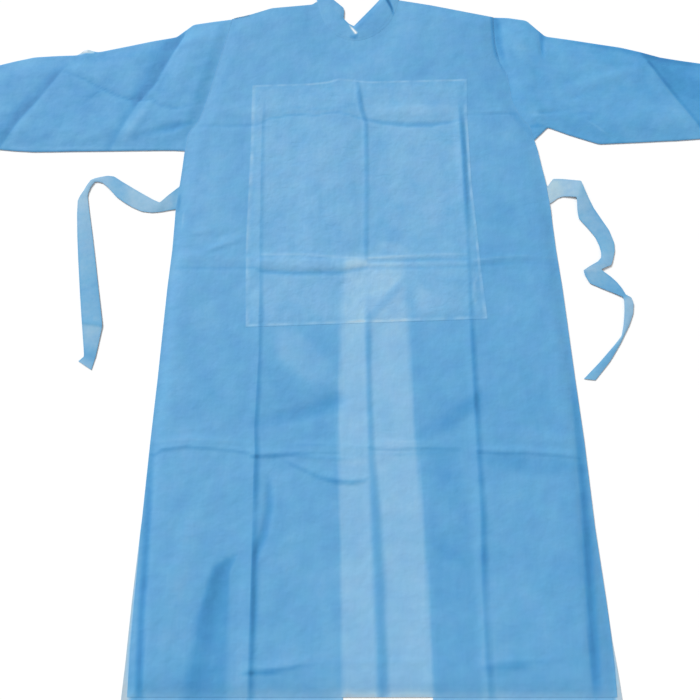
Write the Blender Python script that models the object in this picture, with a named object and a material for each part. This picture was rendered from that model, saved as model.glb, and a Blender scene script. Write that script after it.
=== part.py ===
"""A disposable surgical gown laid flat on its back, front side up, with its sleeves and waist ties spread.

Metres, +Z up, +Y towards the neck, +X to the right of the picture.  Lengths along Y are measured up
from the front hem, and the finished pieces are moved so that the origin is under the middle of the gown.
"""
from collections import namedtuple

import bmesh
import bpy
from mathutils import Vector

# Cloth
wall = 0.0010                # thickness of every cloth wall
seam = 0.0003                # space left between two pieces that meet
ply = wall + seam            # height of one layer of cloth
slanted_seam = 1.4 * seam    # the same space measured across the body, where a seam runs at a slant

# Main sizes of the gown
sleeve_reach = 0.850         # from the middle to a cuff's end
neck_tip = 1.262             # from the front hem to the top of the neck band
back_drop = 0.014            # the back panels hang this much below the front hem
chest_height = 0.90          # from the hem to the armpits
skirt_height = 0.30          # below this the columns of the skirt run straight

# The places across the body where its panels have a line of points.  Each row gives the line's place
# at the hem, at the chest and at the shoulders.
Column = namedtuple("Column", "name hem chest top")
columns = [
    Column("left_patch", -0.206, -0.209, -0.1850),
    Column("left_fold", -0.176, -0.187, -0.1600),
    Column("left_inner", -0.146, -0.157, -0.1300),
    Column("left_mid", -0.100, -0.112, -0.1001),
    Column("neck_left_tip", -0.072, -0.084, -0.0840),
    Column("neck_left_rise", -0.046, -0.054, -0.0680),
    Column("neck_left_slope", -0.012, -0.025, -0.0450),
    Column("middle_fold", 0.0160, 0.001, -0.0205),
    Column("neck_right_slope", 0.044, 0.028, 0.0050),
    Column("neck_right_rise", 0.074, 0.056, 0.0300),
    Column("neck_right_tip", 0.100, 0.082, 0.0460),
    Column("right_mid", 0.125, 0.112, 0.0683),
    Column("right_inner", 0.149, 0.146, 0.1200),
    Column("right_fold", 0.175, 0.173, 0.1500),
    Column("right_patch", 0.207, 0.189, 0.1780),
]
side_shares = (0.84, 0.58, 0.26)  # further lines between the outermost column and the side edge

line_names = ["", *["" for share in side_shares], *[column.name for column in columns]]

# The rows of points from the hem to the shoulders, each at its height on the left and the right side.
Row = namedtuple("Row", "name left right")
rows = [
    Row("hem", 0.000, 0.000),
    Row("below_fold_1", 0.018, 0.032),
    Row("fold_1", 0.036, 0.054),
    Row("above_fold_1", 0.058, 0.076),
    Row("skirt_1", 0.115, 0.125),
    Row("skirt_2", 0.195, 0.195),
    Row("skirt_3", 0.270, 0.270),
    Row("skirt_4", 0.318, 0.314),
    Row("below_fold_2", 0.341, 0.334),
    Row("fold_2", 0.360, 0.352),
    Row("above_fold_2", 0.379, 0.370),
    Row("hip_1", 0.410, 0.405),
    Row("hip_2", 0.460, 0.465),
    Row("hip_3", 0.515, 0.530),
    Row("patch_foot", 0.560, 0.585),
    Row("waist_1", 0.605, 0.620),
    Row("lap_foot", 0.640, 0.640),
    Row("below_fold_3", 0.666, 0.661),
    Row("fold_3", 0.685, 0.679),
    Row("above_fold_3", 0.704, 0.698),
    Row("waist_2", 0.735, 0.735),
    Row("tie_foot", 0.785, 0.790),
    Row("tie_head", 0.837, 0.840),
    Row("chest_1", 0.870, 0.885),
    Row("armpit", 0.901, 0.9226),
    Row("below_fold_4", 0.932, 0.944),
    Row("fold_4", 0.953, 0.965),
    Row("above_fold_4", 0.974, 0.985),
    Row("chest_2", 1.002, 1.016),
    Row("patch_head", 1.035, 1.054),
    Row("yoke_1", 1.080, 1.092),
    Row("yoke_2", 1.130, 1.135),
    Row("shoulder", 1.1855, 1.190),
]
armpit_row = [row.name for row in rows].index("armpit")

# The side seams up to the armpits, then the armholes up to the shoulders.
Edge = namedtuple("Edge", "height left right")
sides = [
    Edge(0.000, -0.3515, 0.3598),
    Edge(0.064, -0.3524, 0.3594),
    Edge(0.134, -0.3520, 0.3568),
    Edge(0.240, -0.3503, 0.3500),
    Edge(0.375, -0.3463, 0.3455),
    Edge(0.476, -0.3424, 0.3399),
    Edge(0.637, -0.3377, 0.3320),
    Edge(0.707, -0.3341, 0.3268),
    Edge(0.785, -0.3332, 0.3232),
    Edge(0.840, -0.3285, 0.3183),
    Edge(0.901, -0.3247, 0.3090),
]
Armhole = namedtuple("Armhole", "height reach")
left_armhole = [
    Armhole(0.9010, -0.3247),
    Armhole(0.9363, -0.3216),
    Armhole(0.9613, -0.3050),
    Armhole(0.9888, -0.2956),
    Armhole(1.0273, -0.2867),
    Armhole(1.0774, -0.2763),
    Armhole(1.1535, -0.2600),
    Armhole(1.1855, -0.2532),
]
right_armhole = [
    Armhole(0.9226, 0.3046),
    Armhole(0.9509, 0.2993),
    Armhole(0.9740, 0.2826),
    Armhole(1.0037, 0.2700),
    Armhole(1.0621, 0.2642),
    Armhole(1.0872, 0.2519),
    Armhole(1.1286, 0.2456),
    Armhole(1.1900, 0.2452),
]

# The top edge of the front: shoulders and the notch of the neck.
Top = namedtuple("Top", "across height")
top_edge = [
    Top(-0.2532, 1.1855),
    Top(-0.2155, 1.1970),
    Top(-0.1777, 1.2110),
    Top(-0.1001, 1.2200),
    Top(-0.0840, 1.2280),
    Top(-0.0680, 1.2180),
    Top(-0.0450, 1.1840),
    Top(-0.0205, 1.1570),
    Top(0.0050, 1.1780),
    Top(0.0300, 1.2080),
    Top(0.0460, 1.2300),
    Top(0.0683, 1.2290),
    Top(0.1257, 1.2180),
    Top(0.2452, 1.1900),
]
yoke_start = 1.02            # above this height the rows bend towards the top edge
yoke_bend = 1.5              # they bend more the nearer they are to it
peak_level = 1.212           # the rows below the top edge follow its peaks above this height
peak_share = 0.25            # by this share only
back_inset = 0.002           # the back panels end this far below the shoulders of the front
free_corner_inset = 0.004    # and below the neck band at their free corners

# How far the back panels show outside the front at each height.
Peek = namedtuple("Peek", "height left right")
peeks = [
    Peek(0.000, 0.0090, 0.0078),
    Peek(0.060, 0.0055, 0.0015),
    Peek(0.140, 0.0035, 0.0000),
    Peek(0.260, 0.0000, 0.0000),
]

# The free edges of the two back panels.  Between the lap heights the left one lies on the right one.
Opening = namedtuple("Opening", "height left right")
back_opening = [
    Opening(0.000, -0.0380, 0.0925),
    Opening(0.160, -0.0416, 0.0880),
    Opening(0.400, -0.0473, 0.0742),
    Opening(0.608, -0.0420, 0.0664),
    Opening(0.642, -0.0400, 0.0485),
    Opening(0.690, -0.0370, -0.0220),
    Opening(0.735, -0.0370, -0.0740),
    Opening(0.800, -0.0370, -0.0880),
    Opening(0.880, -0.0370, -0.0860),
    Opening(0.940, -0.0370, -0.0660),
    Opening(1.000, -0.0380, -0.0220),
    Opening(1.070, -0.0400, 0.0050),
    Opening(1.130, -0.0440, 0.0220),
    Opening(1.190, -0.0580, 0.0360),
]
lap_bottom = 0.676
lap_top = 0.999
lap_slope = 0.035            # length over which the lap rises to its height
lap_width = 0.055

# Packing creases that stand up from the cloth, each a line with a height and a half-width.
Crease = namedtuple("Crease", "name x_start y_start x_end y_end height half_width")
front_creases = [
    Crease("left_upright", -0.176, 0.020, -0.187, 0.960, 0.0030, 0.034),
    Crease("middle_upright", 0.016, 0.020, 0.001, 0.960, 0.0040, 0.034),
    Crease("right_upright", 0.175, 0.030, 0.171, 0.960, 0.0030, 0.034),
    Crease("level_1", -0.330, 0.036, 0.330, 0.054, 0.0024, 0.024),
    Crease("level_2", -0.330, 0.360, 0.330, 0.352, 0.0030, 0.022),
    Crease("level_3", -0.310, 0.685, 0.310, 0.679, 0.0034, 0.022),
    Crease("level_4", -0.260, 0.953, 0.220, 0.965, 0.0024, 0.024),
    Crease("left_side", -0.322, 0.340, -0.330, 0.040, 0.0030, 0.030),
    Crease("right_side", 0.318, 0.380, 0.330, 0.040, 0.0034, 0.030),
    Crease("right_armhole", 0.236, 1.180, 0.238, 1.060, 0.0034, 0.026),
]
left_sleeve_creases = [
    Crease("cuffward", -0.5661, 1.0643, -0.6519, 0.9180, 0.0060, 0.045),
    Crease("shoulderward", -0.3520, 1.1400, -0.4550, 0.9150, 0.0050, 0.045),
    Crease("lengthwise", -0.5526, 1.0599, -0.3500, 0.9960, 0.0045, 0.035),
]
right_sleeve_creases = [
    Crease("cuffward", 0.5400, 1.0700, 0.6091, 0.9561, 0.0060, 0.045),
    Crease("shoulderward", 0.3353, 1.1422, 0.3300, 1.0900, 0.0050, 0.035),
    Crease("armpit", 0.3400, 0.9600, 0.4340, 0.9342, 0.0030, 0.030),
]
crease_fade = 0.030          # a crease sinks over this length at each end

# Sections along each sleeve, from beside the armhole to the cuff: its upper and its lower fold.
Section = namedtuple("Section", "upper_x upper_y lower_x lower_y")
left_sleeve = [
    Section(-0.2890, 1.1800, -0.3460, 0.9020),
    Section(-0.3253, 1.1735, -0.3720, 0.9020),
    Section(-0.3560, 1.1450, -0.4050, 0.9015),
    Section(-0.4000, 1.1360, -0.4420, 0.9010),
    Section(-0.4500, 1.1235, -0.4830, 0.9004),
    Section(-0.4981, 1.1118, -0.5240, 0.9000),
    Section(-0.5387, 1.1045, -0.5620, 0.8992),
    Section(-0.5800, 1.1028, -0.5970, 0.8988),
    Section(-0.6189, 1.1000, -0.6300, 0.9008),
    Section(-0.6560, 1.0905, -0.6620, 0.9040),
    Section(-0.6960, 1.0785, -0.6970, 0.9130),
    Section(-0.7380, 1.0640, -0.7370, 0.9280),
    Section(-0.7700, 1.0480, -0.7700, 0.9500),
]
right_sleeve = [
    Section(0.2738, 1.1890, 0.3180, 0.9360),
    Section(0.3080, 1.1830, 0.3311, 0.9495),
    Section(0.3413, 1.1467, 0.3700, 0.9330),
    Section(0.3850, 1.1395, 0.4206, 0.9148),
    Section(0.4330, 1.1305, 0.4560, 0.9165),
    Section(0.4807, 1.1219, 0.4960, 0.9185),
    Section(0.5180, 1.1115, 0.5280, 0.9205),
    Section(0.5534, 1.0996, 0.5600, 0.9220),
    Section(0.5900, 1.0925, 0.5920, 0.9245),
    Section(0.6267, 1.0863, 0.6260, 0.9275),
    Section(0.6680, 1.0770, 0.6680, 0.9350),
    Section(0.7260, 1.0620, 0.7260, 0.9480),
    Section(0.7700, 1.0510, 0.7700, 0.9590),
]
cuff_taper = 0.008           # a cuff's end is narrower than its start by this much on each fold
cuff_sections = 3
cuff_across = 7

# The neck band, from the left tip down to the bottom of the notch and up to the right tip.
Band = namedtuple("Band", "inner_x inner_y outer_x outer_y")
neck_band = [
    Band(-0.0730, 1.2520, -0.0870, 1.2500),
    Band(-0.0608, 1.2320, -0.0885, 1.2310),
    Band(-0.0405, 1.2110, -0.0860, 1.2060),
    Band(-0.0400, 1.1925, -0.0780, 1.1760),
    Band(-0.0300, 1.1810, -0.0560, 1.1500),
    Band(-0.0200, 1.1730, -0.0200, 1.1350),
    Band(-0.0090, 1.1870, 0.0150, 1.1480),
    Band(0.0030, 1.2017, 0.0420, 1.1700),
    Band(0.0160, 1.2200, 0.0560, 1.1980),
    Band(0.0290, 1.2360, 0.0640, 1.2280),
    Band(0.0480, 1.2540, 0.0640, 1.2500),
]
back_band_width = 0.009      # width of the band where it runs on along the back panels
back_band_low = 1.199        # height where the hidden ends of the band stop
back_band_in = 0.006         # how far the hidden part keeps behind the visible edge

# The waist ties as they lie on the table: both edges of the strap and how far it stands up.
Strap = namedtuple("Strap", "outer_x outer_y inner_x inner_y lift")
left_tie = [
    Strap(-0.3338, 0.8350, -0.3338, 0.7870, 0.0000),
    Strap(-0.3495, 0.8140, -0.3546, 0.7800, 0.0004),
    Strap(-0.3640, 0.7990, -0.3720, 0.7768, 0.0010),
    Strap(-0.3800, 0.8068, -0.3935, 0.7778, 0.0020),
    Strap(-0.4090, 0.8230, -0.4131, 0.7858, 0.0030),
    Strap(-0.4338, 0.8387, -0.4299, 0.7953, 0.0044),
    Strap(-0.4520, 0.8510, -0.4445, 0.8100, 0.0060),
    Strap(-0.4640, 0.8500, -0.4591, 0.8248, 0.0072),
    Strap(-0.4800, 0.8440, -0.4720, 0.8290, 0.0070),
    Strap(-0.4950, 0.8270, -0.4800, 0.8190, 0.0060),
    Strap(-0.5050, 0.8060, -0.4860, 0.8030, 0.0044),
    Strap(-0.5065, 0.7809, -0.4832, 0.7809, 0.0030),
    Strap(-0.5049, 0.7522, -0.4775, 0.7522, 0.0020),
    Strap(-0.4980, 0.7120, -0.4680, 0.7120, 0.0010),
    Strap(-0.4870, 0.6450, -0.4560, 0.6450, 0.0000),
    Strap(-0.4759, 0.5812, -0.4405, 0.5720, 0.0010),
    Strap(-0.4690, 0.5400, -0.4425, 0.5400, 0.0020),
    Strap(-0.4700, 0.5180, -0.4470, 0.5130, 0.0010),
    Strap(-0.4789, 0.5074, -0.4517, 0.4908, 0.0000),
]
right_tie = [
    Strap(0.3236, 0.8330, 0.3236, 0.7950, 0.0000),
    Strap(0.3340, 0.8455, 0.3410, 0.8077, 0.0010),
    Strap(0.3580, 0.8445, 0.3560, 0.8060, 0.0024),
    Strap(0.3806, 0.8427, 0.3690, 0.8030, 0.0046),
    Strap(0.3879, 0.8189, 0.3680, 0.7844, 0.0050),
    Strap(0.3961, 0.7856, 0.3702, 0.7604, 0.0030),
    Strap(0.4090, 0.7640, 0.3820, 0.7390, 0.0018),
    Strap(0.4242, 0.7457, 0.3940, 0.7185, 0.0010),
    Strap(0.4295, 0.7093, 0.4010, 0.6980, 0.0024),
    Strap(0.4203, 0.6796, 0.3880, 0.6840, 0.0050),
    Strap(0.4100, 0.6660, 0.3672, 0.6662, 0.0062),
    Strap(0.4182, 0.6589, 0.3810, 0.6387, 0.0052),
    Strap(0.4350, 0.6360, 0.4100, 0.6230, 0.0040),
    Strap(0.4503, 0.6152, 0.4310, 0.6090, 0.0040),
    Strap(0.4475, 0.5900, 0.4300, 0.5880, 0.0030),
    Strap(0.4400, 0.5650, 0.4240, 0.5590, 0.0020),
    Strap(0.4240, 0.5430, 0.4060, 0.5350, 0.0010),
    Strap(0.3990, 0.5080, 0.3790, 0.5040, 0.0006),
    Strap(0.3761, 0.4734, 0.3530, 0.4761, 0.0000),
]
strap_across = 3
strap_edge_share = 0.35      # its edges stand up by this share of its middle's lift

# Colours of the pieces, as linear red, green and blue.
body_blue = (0.170, 0.420, 0.700)
patch_blue = (0.200, 0.440, 0.710)
tie_blue = (0.320, 0.540, 0.700)
knit_white = (0.800, 0.810, 0.800)
cloth_roughness = 0.75

middle_y = (neck_tip - back_drop) / 2


def between(table, height, field, key="height"):
    """Read one column of a table at a height, straight between its rows."""
    for low, high in zip(table, table[1:]):
        start = getattr(low, key)
        end = getattr(high, key)
        if height <= end:
            part = max(0.0, (height - start) / (end - start))
            return getattr(low, field) * (1 - part) + getattr(high, field) * part
    return getattr(table[-1], field)


def mix(a, b, part):
    return a * (1 - part) + b * part


def ramp(value, start, end):
    """0 at start and 1 at end, straight between them."""
    return min(1.0, max(0.0, (value - start) / (end - start)))


def side_points(index):
    """The left and right ends of one row of the body."""
    row = rows[index]
    if index < armpit_row:
        left_x = between(sides, row.left, "left")
        right_x = between(sides, row.right, "right")
    else:
        left_x = between(left_armhole, row.left, "reach")
        right_x = between(right_armhole, row.right, "reach")
    return left_x, row.left, right_x, row.right


def column_place(column, height):
    """Where a column crosses a level below the yoke."""
    part = ramp(height, skirt_height, chest_height)
    return mix(column.hem, column.chest, part)


def body_row(index):
    """All points of one row of the body, from the left edge to the right edge, lying in the plane."""
    left_x, left_y, right_x, right_y = side_points(index)
    row = rows[index]
    rise = ramp((row.left + row.right) / 2, yoke_start, (rows[-1].left + rows[-1].right) / 2)
    places = []
    for column in columns:
        level = mix(left_y, right_y, ramp(column.chest, left_x, right_x))
        places.append(mix(column_place(column, level), column.top, rise))
    places = ([left_x] + [mix(places[0], left_x, share) for share in side_shares] + places
              + [mix(places[-1], right_x, share) for share in side_shares[::-1]] + [right_x])
    points = []
    for across in places:
        plain = mix(left_y, right_y, ramp(across, left_x, right_x))
        lifted = between(top_edge, across, "height", "across")
        if index < len(rows) - 1:
            lifted = min(lifted, peak_level + peak_share * (lifted - peak_level))
        points.append((across, mix(plain, lifted, rise ** yoke_bend)))
    points[0] = (left_x, left_y)
    points[-1] = (right_x, right_y)
    return points


def crease_height(creases, x, y):
    """How far the creases lift the cloth at a point."""
    total = 0.0
    for crease in creases:
        start = Vector((crease.x_start, crease.y_start))
        along = Vector((crease.x_end, crease.y_end)) - start
        length = along.length
        travel = (Vector((x, y)) - start).dot(along) / length
        foot = start + along * (min(max(travel, 0.0), length) / length)
        away = (Vector((x, y)) - foot).length
        ends = min(ramp(travel, -crease_fade, crease_fade),
                   ramp(travel, length + crease_fade, length - crease_fade))
        total = max(total, crease.height * ends * (1 - ramp(away, 0.0, crease.half_width)))
    return total


def lap_lift(row_index, place):
    """The front lies one layer higher where one back panel laps over the other."""
    row_names = [row.name for row in rows]
    raised_rows = range(row_names.index("lap_foot"), row_names.index("patch_head") + 1)
    raised_places = range(line_names.index("left_mid"), line_names.index("middle_fold") + 1)
    return ply if row_index in raised_rows and place in raised_places else 0.0


def front_grid(layer):
    """The points of the front's lower side, raised by a number of layers."""
    grid = []
    for index in range(len(rows)):
        line = []
        flat = body_row(index)
        for place, (x, y) in enumerate(flat):
            lift = lap_lift(index, place)
            if 0 < place < len(flat) - 1 and index < len(rows) - 1:
                lift += crease_height(front_creases, x, y)
            line.append(Vector((x, y, ply + lift + layer * ply)))
        grid.append(line)
    return grid


def moved_up(grid, step):
    return [[point + Vector((0, 0, step)) for point in line] for line in grid]


def back_grid(side):
    """The lower side of one back panel, which lies on the table."""
    grid = []
    for index, row in enumerate(rows):
        left_x, left_y, right_x, right_y = side_points(index)
        side_x, side_y = (left_x, left_y) if side == "left" else (right_x, right_y)
        sign = -1 if side == "left" else 1
        level = (left_y + right_y) / 2
        side_x += sign * between(peeks, level, side)
        free_x = between(back_opening, level, side)
        inner_x = free_x + sign * lap_width
        foot_x = inner_x + sign * lap_slope
        middle_x = (side_x + foot_x) / 2
        raised = min(ramp(level, lap_bottom - lap_slope, lap_bottom),
                     ramp(level, lap_top + lap_slope, lap_top))
        lift = ply * raised if side == "left" else 0.0
        line = []
        for x, share in ((side_x, 0), (middle_x, 0), (foot_x, 0), (inner_x, 1), (free_x, 1)):
            y = mix(side_y, level, ramp(x, side_x, free_x))
            if index == 0:
                y = -back_drop
            if index == len(rows) - 1:
                top = between(top_edge, x, "height", "across")
                y = side_y if x == side_x else top - back_inset
            if x == free_x and index == len(rows) - 1:
                y = back_band_low - free_corner_inset
            line.append(Vector((x, y, lift * share)))
        grid.append(line)
    return grid


def cell_faces(first, second):
    """Two triangles for each cell between two strips of vertices."""
    faces = []
    for a, b, c, d in zip(first, first[1:], second, second[1:]):
        faces += [(a, b, d), (a, d, c)]
    return faces


def make_object(name, points, faces, colour, roughness=cloth_roughness):
    """Make one named piece with its own material."""
    mesh = bpy.data.meshes.new(name)
    mesh.from_pydata([(x, y - middle_y, z) for x, y, z in points], [], faces)
    shape = bmesh.new()
    shape.from_mesh(mesh)
    bmesh.ops.recalc_face_normals(shape, faces=shape.faces)
    shape.to_mesh(mesh)
    shape.free()
    piece = bpy.data.objects.new(name, mesh)
    bpy.context.scene.collection.objects.link(piece)
    material = bpy.data.materials.new(name + "_cloth")
    material.use_nodes = True
    shader = material.node_tree.nodes["Principled BSDF"]
    shader.inputs["Base Color"].default_value = (*colour, 1.0)
    shader.inputs["Roughness"].default_value = roughness
    shader.inputs["Metallic"].default_value = 0.0
    mesh.materials.append(material)
    return piece


def make_panel(name, lower, upper, colour):
    """A closed wall between two grids of points of the same size."""
    across = len(lower[0])
    count = len(lower) * across
    points = [point for grid in (lower, upper) for line in grid for point in line]
    strips = [range(start, start + across) for start in range(0, 2 * count, across)]
    low, high = strips[:len(lower)], strips[len(lower):]
    faces = []
    for first, second in zip(low, low[1:]):
        faces += cell_faces(first, second)
    for first, second in zip(high, high[1:]):
        faces += cell_faces(first, second)
    faces += cell_faces(low[0], high[0])
    faces += cell_faces(low[-1], high[-1])
    for end in (0, -1):
        faces += cell_faces([strip[end] for strip in low], [strip[end] for strip in high])
    return make_object(name, points, faces, colour)


def make_tube(name, outer, inner, colour):
    """A flattened tube with open ends, from rings of outer and inner points."""
    around = len(outer[0])
    count = len(outer) * around
    points = [point for rings in (outer, inner) for ring in rings for point in ring]
    strips = [list(range(start, start + around)) + [start] for start in range(0, 2 * count, around)]
    out, hollow = strips[:len(outer)], strips[len(outer):]
    faces = []
    for first, second in zip(out, out[1:]):
        faces += cell_faces(first, second)
    for first, second in zip(hollow, hollow[1:]):
        faces += cell_faces(first, second)
    faces += cell_faces(out[0], hollow[0])
    faces += cell_faces(out[-1], hollow[-1])
    return make_object(name, points, faces, colour)


def flat_ring(line, heights):
    """Outer and inner points of a flattened ring: along its top layer one way, back along its bottom."""
    first, last = line[0], line[-1]
    step = (last - first).normalized() * wall
    pulled = [first + step] + line[1:-1] + [last - step]
    up = Vector((0, 0, 1))
    outer = [point + up * (height + wall) for point, height in zip(line, heights)]
    outer += [point.copy() for point in line[::-1]]
    inner = [point + up * height for point, height in zip(pulled, heights)]
    inner += [point + up * wall for point in pulled[::-1]]
    return outer, inner


def make_sleeve(name, side, sections, creases):
    """A flattened tube from the armhole to the cuff, and its knitted cuff."""
    sign = -1 if side == "left" else 1
    armhole = []
    for index in range(len(rows) - 1, armpit_row - 1, -1):
        left_x, left_y, right_x, right_y = side_points(index)
        x, y = (left_x, left_y) if side == "left" else (right_x, right_y)
        armhole.append(Vector((x + sign * slanted_seam, y, 0.0)))
    reach = abs(armhole[0].y - armhole[-1].y)
    parts = [(armhole[0].y - point.y) / reach for point in armhole]
    lines = [armhole]
    for number, row in enumerate(sections):
        upper = Vector((row.upper_x, row.upper_y, 0.0))
        lower = Vector((row.lower_x, row.lower_y, 0.0))
        evenness = ramp(number, -1, 4)
        shares = [mix(part, place / (len(parts) - 1), evenness) for place, part in enumerate(parts)]
        bend = 1 - ramp(number, -1, 3)
        line = []
        for share, part, point in zip(shares, parts, armhole):
            straight = armhole[0].lerp(armhole[-1], part)
            line.append(upper.lerp(lower, share) + (point - straight) * bend)
        lines.append(line)
    outer = []
    inner = []
    for number, line in enumerate(lines):
        heights = []
        for place, point in enumerate(line):
            free = 0 < place < len(line) - 1 and 0 < number < len(lines) - 1
            heights.append(ply + (crease_height(creases, point.x, point.y) if free else 0.0))
        ring, hollow = flat_ring(line, heights)
        outer.append(ring)
        inner.append(hollow)
    make_tube(name, outer, inner, body_blue)
    return lines[-1][0], lines[-1][-1]


def make_cuff(name, side, upper, lower):
    """The knitted cuff that goes on from the end of a sleeve."""
    sign = -1 if side == "left" else 1
    start_x = upper.x + sign * seam
    outer = []
    inner = []
    for number in range(cuff_sections):
        part = number / (cuff_sections - 1)
        x = mix(start_x, sign * sleeve_reach, part)
        top = Vector((x, upper.y - cuff_taper * part, 0.0))
        bottom = Vector((x, lower.y + cuff_taper * part, 0.0))
        line = [top.lerp(bottom, place / (cuff_across - 1)) for place in range(cuff_across)]
        ring, hollow = flat_ring(line, [ply] * cuff_across)
        outer.append(ring)
        inner.append(hollow)
    make_tube(name, outer, inner, knit_white)


def make_neck_band():
    """The band round the neck: it lies on the front, folds over at both tips and runs on below."""
    level = 2 * ply
    rings = []

    def ring(inner_point, outer_point, low, high):
        rings.append([Vector((*inner_point, high)), Vector((*outer_point, high)),
                      Vector((*outer_point, low)), Vector((*inner_point, low))])

    def hidden_side(rows_of_band, sign):
        """Sections of the part below, from its end up to the tip."""
        sections = []
        for row in rows_of_band:
            if row.inner_y < back_band_low:
                continue
            inner_x = row.inner_x + sign * back_band_in
            sections.append(((inner_x, row.inner_y), (inner_x + sign * back_band_width, row.inner_y - 0.001)))
        return sections

    half = len(neck_band) // 2
    left_hidden = hidden_side(neck_band[:half], -1)[::-1]
    right_hidden = hidden_side(neck_band[half:], 1)
    for inner_point, outer_point in left_hidden[:-1]:
        ring(inner_point, outer_point, wall, 0.0)
    first, last = neck_band[0], neck_band[-1]
    tip_turn(rings, first, left_hidden[-1], level, True)
    for row in neck_band[1:-1]:
        ring((row.inner_x, row.inner_y), (row.outer_x, row.outer_y), level, level + wall)
    tip_turn(rings, last, right_hidden[-1], level, False)
    for inner_point, outer_point in right_hidden[:-1][::-1]:
        ring(inner_point, outer_point, wall, 0.0)
    points = [point for ring_points in rings for point in ring_points]
    faces = []
    strips = [[4 * number + place for place in (0, 1, 2, 3, 0)] for number in range(len(rings))]
    for one, two in zip(strips, strips[1:]):
        faces += cell_faces(one, two)
    faces.append((0, 1, 2))
    faces.append((0, 2, 3))
    end = 4 * (len(rings) - 1)
    faces.append((end, end + 2, end + 1))
    faces.append((end, end + 3, end + 2))
    return make_object("neck_band", points, faces, body_blue)


def tip_turn(rings, row, hidden, level, rising):
    """The fold over a tip, as two rings: one below and one above, a wall's thickness further out."""
    (low_in_x, low_in_y), (low_out_x, low_out_y) = hidden
    top = neck_tip
    below = [Vector((low_in_x, top, 0.0)), Vector((low_out_x, top, 0.0)),
             Vector((low_out_x, top - wall, wall)), Vector((low_in_x, top - wall, wall))]
    above = [Vector((row.inner_x, top, level + wall)), Vector((row.outer_x, top, level + wall)),
             Vector((row.outer_x, top - wall, level)), Vector((row.inner_x, top - wall, level))]
    rings.extend([below, above] if rising else [above, below])


def make_strap(side, sections):
    """A tie lying on the table from the side seam on, lifted a little where it twists."""
    sign = -1 if side == "left" else 1
    lower = []
    for number, row in enumerate(sections):
        outer = Vector((row.outer_x, row.outer_y, 0.0))
        inner = Vector((row.inner_x, row.inner_y, 0.0))
        if number == 0:
            outer.x = between(sides, outer.y, side) + sign * slanted_seam
            inner.x = between(sides, inner.y, side) + sign * slanted_seam
        line = [outer.lerp(inner, place / (strap_across - 1)) for place in range(strap_across)]
        for place, point in enumerate(line):
            point.z = row.lift if place == 1 else strap_edge_share * row.lift
        lower.append(line)
    return make_panel("tie_" + side, lower, moved_up(lower, wall), tie_blue)


for thing in list(bpy.data.objects):
    bpy.data.objects.remove(thing, do_unlink=True)

for side in ("left", "right"):
    back = back_grid(side)
    make_panel("back_" + side, back, moved_up(back, wall), body_blue)

front = front_grid(0)
make_panel("front", front, moved_up(front, wall), body_blue)

row_names = [row.name for row in rows]
patch_rows = front_grid(1)[row_names.index("patch_foot"):row_names.index("patch_head") + 1]
patch = [line[line_names.index("left_patch"):line_names.index("right_patch") + 1] for line in patch_rows]
make_panel("chest_patch", patch, moved_up(patch, wall), patch_blue)

for side, sections, creases in (("left", left_sleeve, left_sleeve_creases),
                                ("right", right_sleeve, right_sleeve_creases)):
    upper, lower = make_sleeve("sleeve_" + side, side, sections, creases)
    make_cuff("cuff_" + side, side, upper, lower)

make_neck_band()
make_strap("left", left_tie)
make_strap("right", right_tie)
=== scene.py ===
import math

import bmesh
import bpy
import numpy as np
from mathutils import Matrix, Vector, noise


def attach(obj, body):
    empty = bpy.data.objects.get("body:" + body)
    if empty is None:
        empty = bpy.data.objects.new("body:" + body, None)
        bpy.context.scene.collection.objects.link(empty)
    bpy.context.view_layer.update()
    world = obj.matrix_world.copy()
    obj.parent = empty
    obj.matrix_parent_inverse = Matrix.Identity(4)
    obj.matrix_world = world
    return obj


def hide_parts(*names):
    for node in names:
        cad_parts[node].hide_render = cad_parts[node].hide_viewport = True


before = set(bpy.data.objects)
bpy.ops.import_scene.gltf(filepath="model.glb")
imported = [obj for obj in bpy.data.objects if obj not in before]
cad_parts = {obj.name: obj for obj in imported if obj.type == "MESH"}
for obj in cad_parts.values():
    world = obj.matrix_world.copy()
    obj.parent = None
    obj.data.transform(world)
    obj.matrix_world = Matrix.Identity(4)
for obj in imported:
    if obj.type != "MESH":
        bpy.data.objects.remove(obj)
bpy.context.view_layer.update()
print("frame loaded")

shared = {
    "hemPlace": -0.624,        # where the front hem lies in the frame
    "wall": 0.0005,            # thickness of the cloth as it is shown
    "ply": 0.0013,             # height of one layer in the solids
    "cellSize": 0.0047,        # a panel's cells are about this long
    "tuck": 0.0045,            # a sleeve runs in under the edge of the front by this much
    "cutEdgePaintedLight": -0.9,           # colour depth of a cut edge: pale, and a painted light on the shaded side walls of the rims
    "backShare": 0.3,          # the backs rise by this share of what the front above them does
}


# Reading and shaping

def rounded(points, at, radius=0.006):
    # a line through points, with its corners rounded over the radius
    place, value = np.array(points, float).T
    place = np.concatenate([[place[0] - 1], place, [place[-1] + 1]])
    first = value[0] - (value[1] - value[0]) / (place[2] - place[1])
    last = value[-1] + (value[-1] - value[-2]) / (place[-2] - place[-3])
    value = np.concatenate([[first], value, [last]])
    at = np.asarray(at, float)
    return (np.interp(at - radius, place, value) + 2 * np.interp(at, place, value)
            + np.interp(at + radius, place, value)) / 4


def smooth(value, start, end):
    part = np.clip((value - start) / (end - start), 0, 1)
    return part * part * (3 - 2 * part)


def ramp(value, start, end):
    return np.clip((value - start) / (end - start), 0, 1)


def mix(a, b, part):
    return a * (1 - part) + b * part


def crowded(count, tightness):
    # shares from 0 to 1 that lie closer together at both ends
    part = np.linspace(0, 1, count + 1)
    return part - tightness * np.sin(2 * math.pi * part) / (2 * math.pi)


def ripple(x, y, size, seed):
    # soft noise from -1 to 1 with features of this size
    values = [noise.noise(Vector((a, b, seed * 7.31))) for a, b in zip((x / size).flat, (y / size).flat)]
    return np.array(values).reshape(x.shape)


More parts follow.
